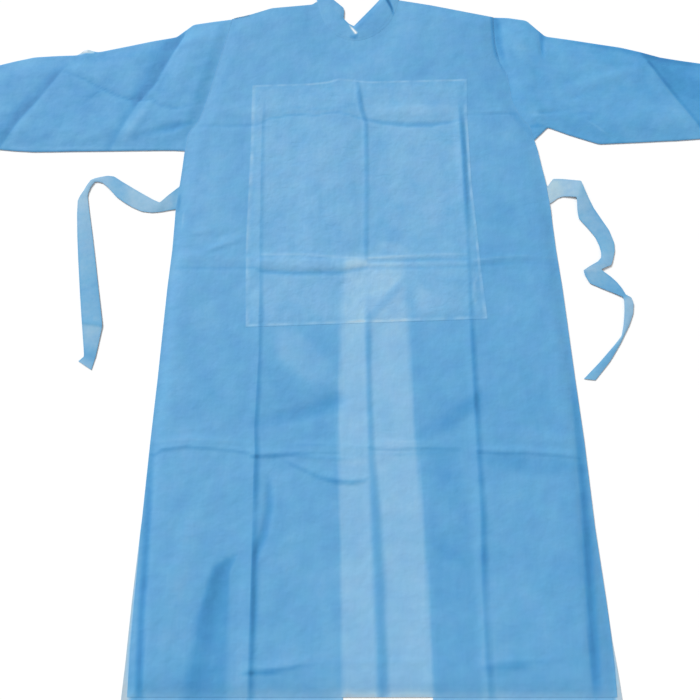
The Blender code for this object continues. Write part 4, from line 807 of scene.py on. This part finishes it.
sleeves = {
    "left": {
        "upper": [(-1, -0.2532, 1.1855), (0, -0.2890, 1.1800), (1, -0.3253, 1.1735), (2, -0.3560, 1.1450),
                  (3, -0.4000, 1.1360), (4, -0.4500, 1.1235), (5, -0.4981, 1.1118), (5.15, -0.5040, 1.1115),
                  (5.6, -0.5250, 1.1190), (5.85, -0.5345, 1.1085), (6, -0.5387, 1.1045),
                  (7, -0.5800, 1.1028), (8, -0.6189, 1.1000), (9, -0.6560, 1.0905), (10, -0.6960, 1.0785),
                  (11, -0.7380, 1.0640), (12, -0.7700, 1.0480)],
        "lower": [(-1, -0.3247, 0.9010), (0, -0.3460, 0.9020), (1, -0.3720, 0.9020), (2, -0.4050, 0.9015),
                  (3, -0.4420, 0.9010), (4, -0.4830, 0.9004), (5, -0.5240, 0.9000), (6, -0.5620, 0.8992),
                  (7, -0.5970, 0.8988), (8, -0.6300, 0.9008), (9, -0.6620, 0.9040), (10, -0.6970, 0.9130),
                  (11, -0.7370, 0.9280), (12, -0.7700, 0.9500)],
        "depth": 1.30, "farDepth": 0.20,
        # the tints of these folds are painted shade in their hollows and painted highlight on their lit flanks, save
        # the pale tab at the top
        "folds": [
            fold(-0.0006, 0.86, [(-0.556, 1.080, 0.008, 0.3), (-0.568, 1.064, 0.020, 0.8), (-0.602, 1.008, 0.028, 1.0),
                                 (-0.630, 0.966, 0.028, 1.0), (-0.659, 0.909, 0.024, 0.9)],
                 lean=-0.55, tintShare=0.60, tintLean=-0.70),
            fold(-0.0007, 0.90, [(-0.343, 1.146, 0.020, 1.1), (-0.370, 1.090, 0.036, 1.1), (-0.392, 1.035, 0.028, 1.0),
                                 (-0.412, 1.006, 0.018, 0.8)], lean=-0.70, tintShare=0.85, tintLean=-0.82),
            fold(-0.0005, 0.60, [(-0.412, 1.006, 0.014, 0.8), (-0.433, 0.970, 0.020, 1.0), (-0.460, 0.905, 0.018, 0.9)],
                 lean=-0.55, tintShare=0.60, tintLean=-0.60),
            fold(-0.0010, 0.62, [(-0.557, 1.066, 0.005, 0.5), (-0.521, 1.050, 0.007, 0.8), (-0.483, 1.029, 0.009, 1.0),
                                 (-0.450, 1.012, 0.009, 1.1), (-0.425, 1.006, 0.009, 1.0)]),
            fold(-0.0008, 0.50, [(-0.412, 1.006, 0.008, 1.0), (-0.392, 1.007, 0.008, 0.9), (-0.372, 0.992, 0.008, 0.8),
                                 (-0.345, 0.987, 0.008, 0.9), (-0.318, 0.995, 0.007, 0.4)], tintShare=0.6),
            fold(0.0004, -0.22, [(-0.555, 1.078, 0.006, 0.3), (-0.520, 1.066, 0.007, 0.8), (-0.490, 1.050, 0.008, 1.0),
                                 (-0.462, 1.032, 0.007, 0.4)]),
            fold(0.0, 0.50, [(-0.516, 1.002, 0.004, 0.0), (-0.503, 1.012, 0.006, 1.0), (-0.492, 1.022, 0.006, 0.9),
                             (-0.476, 1.028, 0.005, 0.6)]),
            fold(0.0, -0.20, [(-0.505, 1.000, 0.006, 0.5), (-0.480, 1.015, 0.007, 1.0), (-0.455, 1.002, 0.006, 0.5)]),
            fold(0.0012, -0.30, [(-0.308, 1.168, 0.020, 0.5), (-0.325, 1.118, 0.034, 1.0), (-0.345, 1.060, 0.032, 1.0),
                                 (-0.362, 1.018, 0.016, 0.5)], tintShare=1.0, plateau=0.2),
            fold(-0.0014, 0.62, [(-0.318, 0.957, 0.006, 0.8), (-0.335, 0.953, 0.013, 1.2), (-0.352, 0.948, 0.015, 1.0),
                                 (-0.385, 0.938, 0.013, 0.7), (-0.426, 0.922, 0.009, 0.1)], tintShare=0.95),
            fold(0.0008, -0.46, [(-0.395, 1.000, 0.008, 0.5), (-0.408, 0.978, 0.016, 1.0), (-0.424, 0.948, 0.018, 1.0),
                                 (-0.440, 0.915, 0.012, 0.7)], tintShare=0.85, lean=0.2),
            fold(0.0, 0.22, [(-0.270, 1.175, 0.014, 0.8), (-0.290, 1.105, 0.016, 1.0), (-0.305, 1.030, 0.014, 0.8),
                             (-0.318, 0.960, 0.010, 0.3)], tintShare=1.0),
            fold(0.0, 0.26, [(-0.560, 1.092, 0.016, 0.6), (-0.480, 1.100, 0.020, 1.0), (-0.400, 1.116, 0.022, 1.0),
                             (-0.352, 1.130, 0.018, 0.7)], tintShare=1.0),
            fold(0.0006, -0.20, [(-0.590, 1.015, 0.010, 0.0), (-0.600, 0.985, 0.018, 1.0), (-0.625, 0.940, 0.016, 0.9),
                                 (-0.640, 0.912, 0.010, 0.4)], tintShare=0.9),
            fold(0.0006, -0.22, [(-0.680, 1.000, 0.016, 0.2), (-0.662, 0.980, 0.016, 1.0), (-0.640, 0.985, 0.010, 0.4)],
                 tintShare=0.9),
            fold(0.0, -3.20, [(-0.534, 1.1105, 0.007, 0.8), (-0.525, 1.1158, 0.009, 1.0), (-0.512, 1.1125, 0.006, 0.7)],
                 tintShare=1.0, plateau=0.5),
            fold(0.0, 0.26, [(-0.595, 1.080, 0.030, 0.5), (-0.640, 1.045, 0.042, 1.0), (-0.700, 1.010, 0.036, 0.8)],
                 tintShare=1.0),
            fold(0.0, -0.30, [(-0.640, 0.909, 0.004, 0.7), (-0.560, 0.9062, 0.004, 1.0), (-0.440, 0.9072, 0.004, 0.8),
                              (-0.350, 0.9080, 0.004, 0.2)], tintShare=1.0),
        ],
    },
    "right": {
        "upper": [(-1, 0.2452, 1.1900), (0, 0.2738, 1.1890), (1, 0.3080, 1.1830), (2, 0.3413, 1.1467),
                  (3, 0.3850, 1.1395), (4, 0.4330, 1.1305), (5, 0.4807, 1.1219), (6, 0.5180, 1.1115),
                  (7, 0.5534, 1.0996), (8, 0.5900, 1.0925), (9, 0.6267, 1.0863), (10, 0.6680, 1.0770),
                  (11, 0.7260, 1.0620), (12, 0.7700, 1.0510)],
        "lower": [(-1, 0.3046, 0.9226), (0, 0.3180, 0.9360), (1, 0.3311, 0.9495), (2, 0.3700, 0.9330),
                  (3, 0.4206, 0.9148), (4, 0.4560, 0.9165), (5, 0.4960, 0.9185), (6, 0.5280, 0.9205),
                  (7, 0.5600, 0.9220), (8, 0.5920, 0.9245), (9, 0.6260, 0.9275), (10, 0.6680, 0.9350),
                  (11, 0.7260, 0.9480), (12, 0.7700, 0.9590)],
        "depth": 1.38, "farDepth": -0.30,
        # the tints of these folds are painted shade in their hollows and painted highlight on their lit flanks
        "folds": [
            fold(-0.0016, 0.55, [(0.526, 1.096, 0.006, 0.3), (0.532, 1.084, 0.012, 0.9), (0.559, 1.034, 0.015, 1.1),
                                 (0.579, 0.998, 0.015, 1.0), (0.608, 0.949, 0.014, 0.9), (0.616, 0.932, 0.010, 0.5)],
                 lean=0.5, tintShare=0.40, tintLean=0.3),
            fold(0.0, 0.70, [(0.624, 1.255, 0.207, 1.0), (0.800, 0.943, 0.207, 1.0)], tintShare=0.82, plateau=0.94),
            fold(-0.0016, 0.85, [(0.3335, 1.158, 0.012, 1.0), (0.3330, 1.138, 0.010, 1.1), (0.3320, 1.112, 0.007, 0.9),
                                 (0.3300, 1.090, 0.005, 0.1)], tintShare=0.7, tintLean=0.3),
            fold(0.0012, -0.16, [(0.350, 1.020, 0.014, 0.0), (0.429, 1.047, 0.020, 1.0), (0.518, 1.076, 0.014, 0.4)],
                 tintShare=0.9),
            fold(-0.0008, 0.34, [(0.300, 0.976, 0.006, 0.5), (0.338, 0.979, 0.007, 1.0), (0.381, 0.987, 0.006, 0.3)]),
            fold(-0.0008, 0.34, [(0.375, 1.008, 0.006, 0.0), (0.383, 1.010, 0.007, 1.0), (0.426, 1.021, 0.006, 0.3)]),
            fold(0.0008, -0.42, [(0.400, 0.962, 0.006, 0.0), (0.412, 0.955, 0.008, 1.0), (0.428, 0.942, 0.008, 0.9),
                                 (0.440, 0.930, 0.005, 0.2)]),
            fold(0.0, -0.40, [(0.300, 0.978, 0.006, 0.3), (0.313, 0.976, 0.009, 1.0), (0.326, 0.972, 0.006, 0.2)],
                 tintShare=0.9),
            fold(-0.0008, 0.60, [(0.302, 0.950, 0.008, 0.9), (0.313, 0.953, 0.010, 1.0), (0.326, 0.951, 0.006, 0.4)],
                 tintShare=0.85),
            fold(-0.0006, 0.45, [(0.3650, 0.957, 0.005, 0.0), (0.3800, 0.975, 0.008, 0.7), (0.4050, 0.978, 0.008, 0.8),
                                 (0.4300, 0.972, 0.006, 0.1)], tintShare=0.8),
            fold(0.0012, -0.24, [(0.270, 1.150, 0.010, 0.3), (0.290, 1.130, 0.022, 1.0), (0.298, 1.090, 0.020, 0.9),
                                 (0.306, 1.045, 0.012, 0.2)], tintShare=1.0),
            fold(0.0, 1.00, [(0.2500, 1.190, 0.010, 0.8), (0.2500, 1.160, 0.014, 1.0), (0.2520, 1.125, 0.012, 1.0),
                             (0.2580, 1.095, 0.008, 0.5), (0.2640, 1.070, 0.006, 0.0)], tintShare=1.0),
            fold(0.0, 0.30, [(0.300, 1.172, 0.010, 0.7), (0.325, 1.158, 0.014, 1.0), (0.350, 1.138, 0.012, 0.5)],
                 tintShare=1.0),
            fold(0.0008, -0.12, [(0.455, 0.960, 0.016, 0.0), (0.500, 0.985, 0.026, 1.0), (0.545, 0.975, 0.018, 0.5)],
                 tintShare=0.9),
            fold(0.0, 0.42, [(0.380, 1.136, 0.008, 0.5), (0.440, 1.127, 0.011, 1.0), (0.500, 1.113, 0.012, 1.0),
                             (0.560, 1.095, 0.012, 0.8), (0.640, 1.078, 0.010, 0.6), (0.760, 1.050, 0.010, 0.6)],
                 tintShare=1.0),
            fold(0.0, 0.24, [(0.430, 1.095, 0.014, 0.3), (0.470, 1.085, 0.024, 1.0), (0.520, 1.060, 0.020, 0.5)],
                 tintShare=1.0),
            fold(0.0, -0.16, [(0.545, 1.010, 0.010, 0.5), (0.560, 0.985, 0.014, 1.0), (0.590, 0.945, 0.012, 1.0)],
                 tintShare=0.9),
        ],
    },
    "puff": 0.0030, "puffEdge": 0.045, "foldRound": 0.0042, "middle": 0.0011, "edgeTop": 0.0019,
    "along": 142, "across": 72, "corner": 0.10,
    "swell": 0.0012, "swellSize": 0.085, "waver": 0.0006, "waverSize": 0.026,
}


def makeSleeve(side):
    look = sleeves[side]
    sign = -1 if side == "left" else 1
    edgeX, edgeY = (x[:, 0], y[:, 0]) if side == "left" else (x[:, -1], y[:, -1])
    armpit = look["lower"][0][2]
    inside = edgeY >= armpit - 1e-4
    holeY, holeX = edgeY[inside][::-1], edgeX[inside][::-1] - sign * shared["tuck"]
    lengths = np.concatenate([[0], np.cumsum(np.hypot(np.diff(holeX), np.diff(holeY)))])
    parts = crowded(sleeves["across"], 0.5)
    holeX, holeY = (np.interp(parts, lengths / lengths[-1], values) for values in (holeX, holeY))

    stations = np.linspace(-1, 12, sleeves["along"])
    ends = []
    for key in ("upper", "lower"):
        for column in (1, 2):
            ends.append(rounded([(row[0], row[column]) for row in look[key]], stations, sleeves["corner"]))
    upperX, upperY, lowerX, lowerY = (values[:, None] for values in ends)
    bend = (1 - ramp(stations, -1, 3))[:, None]
    sx = mix(upperX, lowerX, parts) + bend * (holeX - mix(holeX[0], holeX[-1], parts))
    sy = mix(upperY, lowerY, parts) + bend * (holeY - mix(holeY[0], holeY[-1], parts))
    sx[0], sy[0] = holeX, holeY

    width = np.hypot(upperX - lowerX, upperY - lowerY)
    toFold = np.minimum(parts, 1 - parts) * width
    curl = np.sqrt(1 - (1 - np.clip(toFold / sleeves["foldRound"], 0, 1)) ** 2)
    fromHole = np.abs(sx - holeX)
    lift, deeper = creased(sx, sy, look["folds"])
    swell = sleeves["swell"] * ripple(sx, sy, sleeves["swellSize"], 11)
    waver = sleeves["waver"] * ripple(sx, sy, sleeves["waverSize"], 12)
    free = smooth(fromHole, 0.002, 0.030) * smooth(toFold, 0.0, sleeves["puffEdge"])
    free = free * (1 - 0.7 * smooth(stations, 11, 12))[:, None]
    lift = np.maximum(0.0, free * (sleeves["puff"] + lift + swell + waver))
    wall, middle = shared["wall"], sleeves["middle"]
    flatTop = mix(middle + wall, sleeves["edgeTop"], smooth(fromHole, 0.002, 0.012))
    topZ = mix(middle, flatTop + lift, curl)
    lowZ = mix(middle - 0.0001, 0.0, curl)
    depth = look["depth"] + look["farDepth"] * ramp(np.abs(sx), 0.45, 0.65) + deeper + blotched(sx, sy, 1.45)

    def rings(top, low, inset):
        # along the top from the upper fold to the lower one, then back below
        rimX, rimY = sx.copy(), sy.copy()
        for edge, way in ((0, 1), (-1, -1)):
            rimX[:, edge] += way * inset * (lowerX - upperX)[:, 0] / width[:, 0]
            rimY[:, edge] += way * inset * (lowerY - upperY)[:, 0] / width[:, 0]
        upperSide = np.stack([rimX, rimY, top], -1)
        lowerSide = np.stack([rimX, rimY, low], -1)[:, ::-1]
        return np.concatenate([upperSide, lowerSide], 1)

    outer = rings(topZ, lowZ, 0.0)
    inside = rings(mix(middle + 0.00005, topZ - wall, curl), mix(middle - 0.00005, lowZ + wall, curl), wall)
    piece = tube("sleeve" + side.title(), outer, inside, np.concatenate([depth, depth[:, ::-1]], 1))
    piece.data.materials.append(materials["sleeve"])
    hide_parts("sleeve_" + side)


makeSleeve("left")
makeSleeve("right")
print("sleeves made")


# Cuffs, knitted in ribs

cuffs = {
    "left": {"upper": 1.0480, "lower": 0.9500}, "right": {"upper": 1.0510, "lower": 0.9590},
    "start": 0.7704, "end": 0.8496, "taper": 0.008, "ribs": 26, "ribHeight": 0.00035,
    "along": 22, "perRib": 6, "wall": 0.0008, "waist": 0.0016,
}


def makeCuff(side):
    sign = -1 if side == "left" else 1
    across = cuffs["ribs"] * cuffs["perRib"] + 1
    parts = np.linspace(0, 1, across)
    run = np.linspace(0, 1, cuffs["along"])[:, None]
    cx = sign * mix(cuffs["start"], cuffs["end"], run) + 0 * parts
    pull = cuffs["taper"] * run - cuffs["waist"] * np.sin(run * math.pi * 3) * 0.5
    cy = mix(cuffs[side]["upper"] - pull, cuffs[side]["lower"] + pull, parts)
    rib = (0.5 + 0.5 * np.cos(parts * 2 * math.pi * cuffs["ribs"]))[None, :] + 0 * run
    width = cuffs[side]["upper"] - cuffs[side]["lower"]
    toFold = np.minimum(parts, 1 - parts) * width
    curl = np.sqrt(1 - (1 - np.clip(toFold / 0.006, 0, 1)) ** 2)[None, :] + 0 * run
    wall, middle = cuffs["wall"], 0.0013
    swell = 0.0005 * ripple(cx, cy, 0.03, 21)
    top = mix(middle, 0.0024 + swell, curl) + cuffs["ribHeight"] * rib * curl
    low = mix(middle - 0.0002, 0.0, curl) + cuffs["ribHeight"] * (1 - rib) * curl
    outer = np.concatenate([np.stack([cx, cy, top], -1), np.stack([cx, cy, low], -1)[:, ::-1]], 1)
    iy = cy.copy()
    iy[:, 0] -= wall
    iy[:, -1] += wall
    innerTop = np.maximum(top - cuffs["ribHeight"] * rib - wall * curl, middle)
    innerLow = np.minimum(low + wall, middle - 0.0001)
    inner = np.concatenate([np.stack([cx, iy, innerTop], -1), np.stack([cx, iy, innerLow], -1)[:, ::-1]], 1)
    # darker in the furrows between the ribs, a painted shade, and darker at the end next to the sleeve
    furrowShade = 0.55 * (1 - rib) + 0.25 * smooth(run, 0.10, 0.0)
    piece = tube("cuff" + side.title(), outer, inner, np.concatenate([furrowShade, furrowShade[:, ::-1]], 1))
    piece.data.materials.append(materials["knit"])
    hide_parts("cuff_" + side)


makeCuff("left")
makeCuff("right")


# The binding round the neck: it runs down one side of the notch and up the other, and turns under at both tips

neckBand = {
    "rows": [  # inner x, inner y, outer x, outer y, tint
        (-0.0730, 1.2520, -0.0890, 1.2500, 0.00), (-0.0615, 1.2322, -0.0918, 1.2310, -0.15),
        (-0.0405, 1.2117, -0.0875, 1.2060, -0.20), (-0.0393, 1.2036, -0.0830, 1.1930, -0.15),
        (-0.0404, 1.1871, -0.0760, 1.1720, -0.10), (-0.0307, 1.1754, -0.0560, 1.1480, 0.00),
        (-0.0208, 1.1695, -0.0200, 1.1330, 0.00), (-0.0110, 1.1813, 0.0150, 1.1440, 0.15),
        (0.0078, 1.2040, 0.0440, 1.1700, 0.10), (0.0195, 1.2185, 0.0580, 1.1980, -0.10),
        (0.0302, 1.2322, 0.0650, 1.2280, -0.05), (0.0450, 1.2520, 0.0650, 1.2500, 0.10)],
    "folds": [
        # a pale slit where the binding's underside shows, a painted shadow just below it, a darker stretch down the
        # right arm, and the painted shade of a deep crease near the right tip
        fold(0.0, -3.20, [(-0.0293, 1.1709, 0.0016, 0.5), (-0.0240, 1.1630, 0.0030, 0.9), (-0.0172, 1.1535, 0.0042, 1.0)],
             tintShare=1.0, plateau=0.3),
        fold(0.0, 1.10, [(-0.0250, 1.1450, 0.006, 0.8), (-0.0195, 1.1440, 0.007, 1.0), (-0.0150, 1.1470, 0.005, 0.6)],
             tintShare=1.0),
        fold(0.0, 0.45, [(-0.0150, 1.1640, 0.008, 0.6), (-0.0030, 1.1800, 0.012, 1.0), (0.0110, 1.1970, 0.011, 1.0),
                         (0.0220, 1.2120, 0.008, 0.3)], tintShare=1.0),
        fold(-0.0004, 2.20, [(0.0390, 1.2440, 0.006, 0.8), (0.0425, 1.2322, 0.007, 1.0), (0.0480, 1.2200, 0.006, 1.0),
                             (0.0520, 1.2095, 0.005, 0.9), (0.0554, 1.1932, 0.004, 0.2)], tintShare=0.9),
    ],
    "hiddenIn": 0.006, "hiddenWidth": 0.009, "hiddenLow": 1.199, "hiddenDepth": 0.9, "tip": 1.2615,
    "steps": 12, "across": 29, "turnSteps": 6, "low": 0.0006, "height": 0.0029, "outerHeight": 0.00248,
    "crown": 0.0007, "roll": 0.0008, "edgeDepth": 0.30, "edgeWidth": 0.0035, "corner": 0.12,
    "seamAt": 24,              # the column of points that the sewing follows
}


def makeNeckBand():
    look = neckBand
    rows = look["rows"]
    low, high = look["low"], look["height"]

    def hidden(row, sign):
        innerX = row[0] + sign * look["hiddenIn"]
        return (innerX, row[1], innerX + sign * look["hiddenWidth"], row[1] - 0.001)

    def turn(row, sign):
        below = hidden(row, sign)
        for step in range(look["turnSteps"] + 1):
            angle = math.pi * step / look["turnSteps"]
            share = (1 - math.cos(angle)) / 2
            reach = look["tip"] - 0.0012 + 0.0012 * math.sin(angle)
            yield (mix(below[0], row[0], share), reach, mix(below[2], row[2], share), reach,
                   mix(low, high, share), row[4])

    half = len(rows) // 2
    leftHidden = [hidden(row, -1) for row in rows[:half] if row[1] > look["hiddenLow"]][::-1]
    rightHidden = [hidden(row, 1) for row in rows[half:] if row[1] > look["hiddenLow"]]
    visible = np.array(rows[1:-1])
    places = np.arange(len(visible))
    at = np.linspace(0, len(visible) - 1, (len(visible) - 1) * look["steps"] + 1)
    read = [rounded(np.stack([places, visible[:, column]], -1), at, look["corner"] if column < 2 else 0.45)
            for column in range(5)]
    stations = [(*ends, low, 0.0) for ends in leftHidden]
    stations += list(turn(rows[0], -1))
    stations += [(*ends, high, tint) for *ends, tint in zip(*read)]
    stations += list(turn(rows[-1], 1))[::-1]
    stations += [(*ends, low, 0.0) for ends in rightHidden[::-1]]
    table = np.array(stations)
    parts = np.linspace(0, 1, look["across"])
    nx = mix(table[:, 0:1], table[:, 2:3], parts)
    ny = mix(table[:, 1:2], table[:, 3:4], parts)
    shown = (table[:, 4:5] > high - 0.0001) * 1.0
    press = shown * smooth(parts, 0.35, 1.0)
    bump, paintedCreaseShade = creased(nx, ny, look["folds"])
    nz = mix(table[:, 4:5], look["outerHeight"], press) + shown * bump
    nz = nz + shown * (look["crown"] * np.sin(parts * math.pi) ** 0.7 - look["roll"] * smooth(parts, 0.2, 0.0))
    nz = nz + shown * 0.0003 * ripple(nx, ny, 0.018, 31) * (1 - press)
    width = np.hypot(table[:, 0] - table[:, 2], table[:, 1] - table[:, 3])[:, None]
    rim = np.clip(1 - parts * width / look["edgeWidth"], 0, 1)
    depth = bodySurface(nx, ny, 0 * nx)[1] + table[:, 5:6] + rim * look["edgeDepth"] + paintedCreaseShade
    wall = shared["wall"] * mix(1.0, 0.2, press)
    onTop = np.flatnonzero(shown[:, 0])
    line = np.stack([nx, ny, nz + wall / 2 + seams["above"]], -1)[onTop, look["seamAt"]]
    seam = stitching("bindingSeam", line, seams["binding"])
    piece = ribbon("neckBand", np.stack([nx, ny, nz], -1), wall, depth)
    piece.data.materials.append(materials["body"])
    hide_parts("neck_band")


makeNeckBand()


# The waist ties

ties = {
    # outer x, outer y, inner x, inner y, outer lift, inner lift, depth
    "left": [
        (-0.3192, 0.8412, -0.3167, 0.7884, 0.0009, 0.0009, 0.60), (-0.3286, 0.8298, -0.3287, 0.7861, 0.0010, 0.0009, 0.80),
        (-0.3354, 0.8236, -0.3349, 0.7843, 0.0012, 0.0008, 1.00), (-0.3485, 0.8109, -0.3453, 0.7829, 0.0020, 0.0008, 0.50),
        (-0.3618, 0.7964, -0.3576, 0.7801, 0.0028, 0.0006, 0.35), (-0.3740, 0.8024, -0.3742, 0.7782, 0.0022, 0.0006, 0.20),
        (-0.3917, 0.8132, -0.3933, 0.7806, 0.0014, 0.0006, 0.25), (-0.4130, 0.8265, -0.4098, 0.7884, 0.0010, 0.0010, 0.00),
        (-0.4309, 0.8378, -0.4249, 0.7978, 0.0010, 0.0016, 0.75), (-0.4472, 0.8488, -0.4393, 0.8085, 0.0012, 0.0014, 0.75),
        (-0.4588, 0.8502, -0.4553, 0.8265, 0.0013, 0.0015, 0.45), (-0.4695, 0.8480, -0.4664, 0.8364, 0.0014, 0.0015, 0.35),
        (-0.4804, 0.8452, -0.4751, 0.8388, 0.0014, 0.0014, 0.30), (-0.4878, 0.8417, -0.4810, 0.8383, 0.0014, 0.0014, 0.25),
        (-0.4935, 0.8320, -0.4868, 0.8279, 0.0013, 0.0013, 0.20), (-0.4981, 0.8212, -0.4899, 0.8170, 0.0012, 0.0012, 0.20),
        (-0.5035, 0.8110, -0.4904, 0.8090, 0.0012, 0.0010, 0.10), (-0.5068, 0.8011, -0.4885, 0.7992, 0.0010, 0.0008, 0.00),
        (-0.5054, 0.7759, -0.4837, 0.7759, 0.0008, 0.0007, 0.40), (-0.5004, 0.7324, -0.4746, 0.7347, 0.0008, 0.0006, 0.60),
        (-0.4941, 0.6874, -0.4658, 0.6919, 0.0006, 0.0006, 0.72), (-0.4861, 0.6347, -0.4553, 0.6390, 0.0006, 0.0006, 0.95),
        (-0.4780, 0.5850, -0.4440, 0.5830, 0.0010, 0.0010, 0.80), (-0.4759, 0.5747, -0.4418, 0.5696, 0.0018, 0.0018, 1.20),
        (-0.4752, 0.5690, -0.4420, 0.5640, 0.0012, 0.0012, 0.30), (-0.4702, 0.5391, -0.4448, 0.5391, 0.0008, 0.0008, 0.50),
        (-0.4669, 0.5184, -0.4476, 0.5143, 0.0006, 0.0006, 1.30), (-0.4672, 0.5150, -0.4490, 0.5090, 0.0005, 0.0005, 0.90),
        (-0.4752, 0.5073, -0.4525, 0.4926, 0.0003, 0.0003, 0.50)],
    "right": [
        (0.3163, 0.8417, 0.3148, 0.7934, 0.0009, 0.0009, -0.25), (0.3219, 0.8288, 0.3220, 0.7948, 0.0009, 0.0009, -0.35),
        (0.3270, 0.8367, 0.3294, 0.7997, 0.0010, 0.0008, -0.40), (0.3329, 0.8442, 0.3378, 0.8061, 0.0010, 0.0006, -0.35),
        (0.3497, 0.8437, 0.3469, 0.8095, 0.0014, 0.0010, -0.10), (0.3673, 0.8412, 0.3601, 0.8090, 0.0022, 0.0020, 0.10),
        (0.3813, 0.8392, 0.3706, 0.8076, 0.0034, 0.0030, 0.05), (0.3847, 0.8268, 0.3707, 0.7982, 0.0034, 0.0028, 0.45),
        (0.3909, 0.8081, 0.3700, 0.7812, 0.0024, 0.0020, 0.40), (0.3987, 0.7875, 0.3714, 0.7662, 0.0014, 0.0014, 0.65),
        (0.4098, 0.7667, 0.3846, 0.7489, 0.0010, 0.0010, 0.65), (0.4220, 0.7441, 0.3968, 0.7308, 0.0008, 0.0008, 0.72),
        (0.4283, 0.7204, 0.4022, 0.7142, 0.0009, 0.0010, 0.70), (0.4276, 0.7048, 0.4040, 0.7016, 0.0012, 0.0014, 0.60),
        (0.4224, 0.6875, 0.4031, 0.6922, 0.0015, 0.0019, 0.50), (0.4184, 0.6783, 0.3968, 0.6848, 0.0019, 0.0023, 0.60),
        (0.4086, 0.6741, 0.3832, 0.6769, 0.0021, 0.0024, 0.30), (0.4005, 0.6699, 0.3704, 0.6681, 0.0023, 0.0024, 0.30),
        (0.4056, 0.6653, 0.3722, 0.6598, 0.0022, 0.0016, 0.70), (0.4155, 0.6570, 0.3794, 0.6451, 0.0020, 0.0010, 0.80),
        (0.4251, 0.6469, 0.3973, 0.6365, 0.0021, 0.0010, 0.90), (0.4331, 0.6346, 0.4168, 0.6278, 0.0022, 0.0012, 1.15),
        (0.4376, 0.6242, 0.4329, 0.6201, 0.0022, 0.0018, 1.10), (0.4467, 0.6188, 0.4342, 0.6129, 0.0021, 0.0019, 0.05),
        (0.4493, 0.6080, 0.4332, 0.5995, 0.0018, 0.0020, 0.20), (0.4466, 0.5905, 0.4312, 0.5839, 0.0014, 0.0017, 0.20),
        (0.4385, 0.5706, 0.4283, 0.5684, 0.0010, 0.0014, 0.10), (0.4267, 0.5495, 0.4235, 0.5508, 0.0009, 0.0010, 0.35),
        (0.4201, 0.5377, 0.4107, 0.5355, 0.0008, 0.0008, 0.80), (0.4004, 0.5075, 0.3829, 0.5054, 0.0006, 0.0006, 1.00),
        (0.3731, 0.4752, 0.3545, 0.4773, 0.0003, 0.0003, 0.75)],
    "steps": 6, "across": 9, "bow": 0.0006, "rim": 0.0022, "rimDepth": 0.34, "corner": 0.12,
    "area": {"left": 0.0139, "right": 0.0104},
}


def makeTie(side):
    rows = np.array(ties[side])
    places = np.arange(len(rows))
    at = np.linspace(0, len(rows) - 1, (len(rows) - 1) * ties["steps"] + 1)
    values = [rounded(np.stack([places, rows[:, column]], -1), at, ties["corner"]) for column in range(7)]
    outerX, outerY, innerX, innerY, outerLift, innerLift, depth = (value[:, None] for value in values)
    parts = np.linspace(0, 1, ties["across"])
    tx, ty = mix(outerX, innerX, parts), mix(outerY, innerY, parts)
    tz = mix(outerLift, innerLift, parts) + shared["wall"] / 2
    tz = tz + ties["bow"] * np.sin(parts * math.pi) * smooth(at, 0, 1.5)[:, None] * (0.6 + 0.4 * ripple(tx, ty, 0.03, 41))
    width = np.hypot(outerX - innerX, outerY - innerY)
    rim = np.clip(1 - np.minimum(parts, 1 - parts) * width / ties["rim"], 0, 1)
    tint = depth + rim * ties["rimDepth"] + 0.16 * ripple(tx, ty, 0.022, 42) + 0.10 * ripple(tx, ty, 0.008, 43)
    piece = ribbon("tie" + side.title(), np.stack([tx, ty, tz], -1), shared["wall"], tint)
    piece.data.materials.append(materials["tie"])
    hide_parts("tie_" + side)


makeTie("left")
makeTie("right")
print("neck band, cuffs and ties made")


# Camera, floor and light

view = {
    "place": (-0.028, -0.464, 1.20), "tilt": 17.0, "lens": 39.0,
    "floor": 0.95, "skyLight": 0.44, "keyStrength": 3.2, "keySpread": 22.0, "keyFrom": (-1.1, 1.3, 1.35),
}
camera = bpy.data.objects.new("camera", bpy.data.cameras.new("camera"))
bpy.context.scene.collection.objects.link(camera)
camera.location = view["place"]
camera.rotation_euler = (math.radians(view["tilt"]), 0, 0)
camera.data.sensor_width = 36.0
camera.data.lens = view["lens"]
bpy.context.scene.camera = camera

floorMesh = bpy.data.meshes.new("tableTop")
floorMesh.from_pydata([(-8, -8, -0.0004), (8, -8, -0.0004), (8, 8, -0.0004), (-8, 8, -0.0004)], [], [(0, 1, 2, 3)])
floor = bpy.data.objects.new("tableTop", floorMesh)
bpy.context.scene.collection.objects.link(floor)
paleFloor = bpy.data.materials.new("paleFloor")
paleFloor.use_nodes = True
paleFloor.node_tree.nodes["Principled BSDF"].inputs["Base Color"].default_value = (*[view["floor"]] * 3, 1)
paleFloor.node_tree.nodes["Principled BSDF"].inputs["Roughness"].default_value = 0.9
floor.data.materials.append(paleFloor)

world = bpy.data.worlds.new("studio")
bpy.context.scene.world = world
world.use_nodes = True
world.node_tree.nodes["Background"].inputs["Color"].default_value = (1, 1, 1, 1)
world.node_tree.nodes["Background"].inputs["Strength"].default_value = view["skyLight"]
lamp = bpy.data.objects.new("softKey", bpy.data.lights.new("softKey", "SUN"))
bpy.context.scene.collection.objects.link(lamp)
lamp.data.energy = view["keyStrength"]
lamp.data.angle = math.radians(view["keySpread"])
lamp.location = view["keyFrom"]
lamp.rotation_euler = (Vector((0, 0, 0)) - lamp.location).to_track_quat("-Z", "Y").to_euler()
bpy.context.scene.view_settings.view_transform = "Standard"
print("camera, floor and light set")
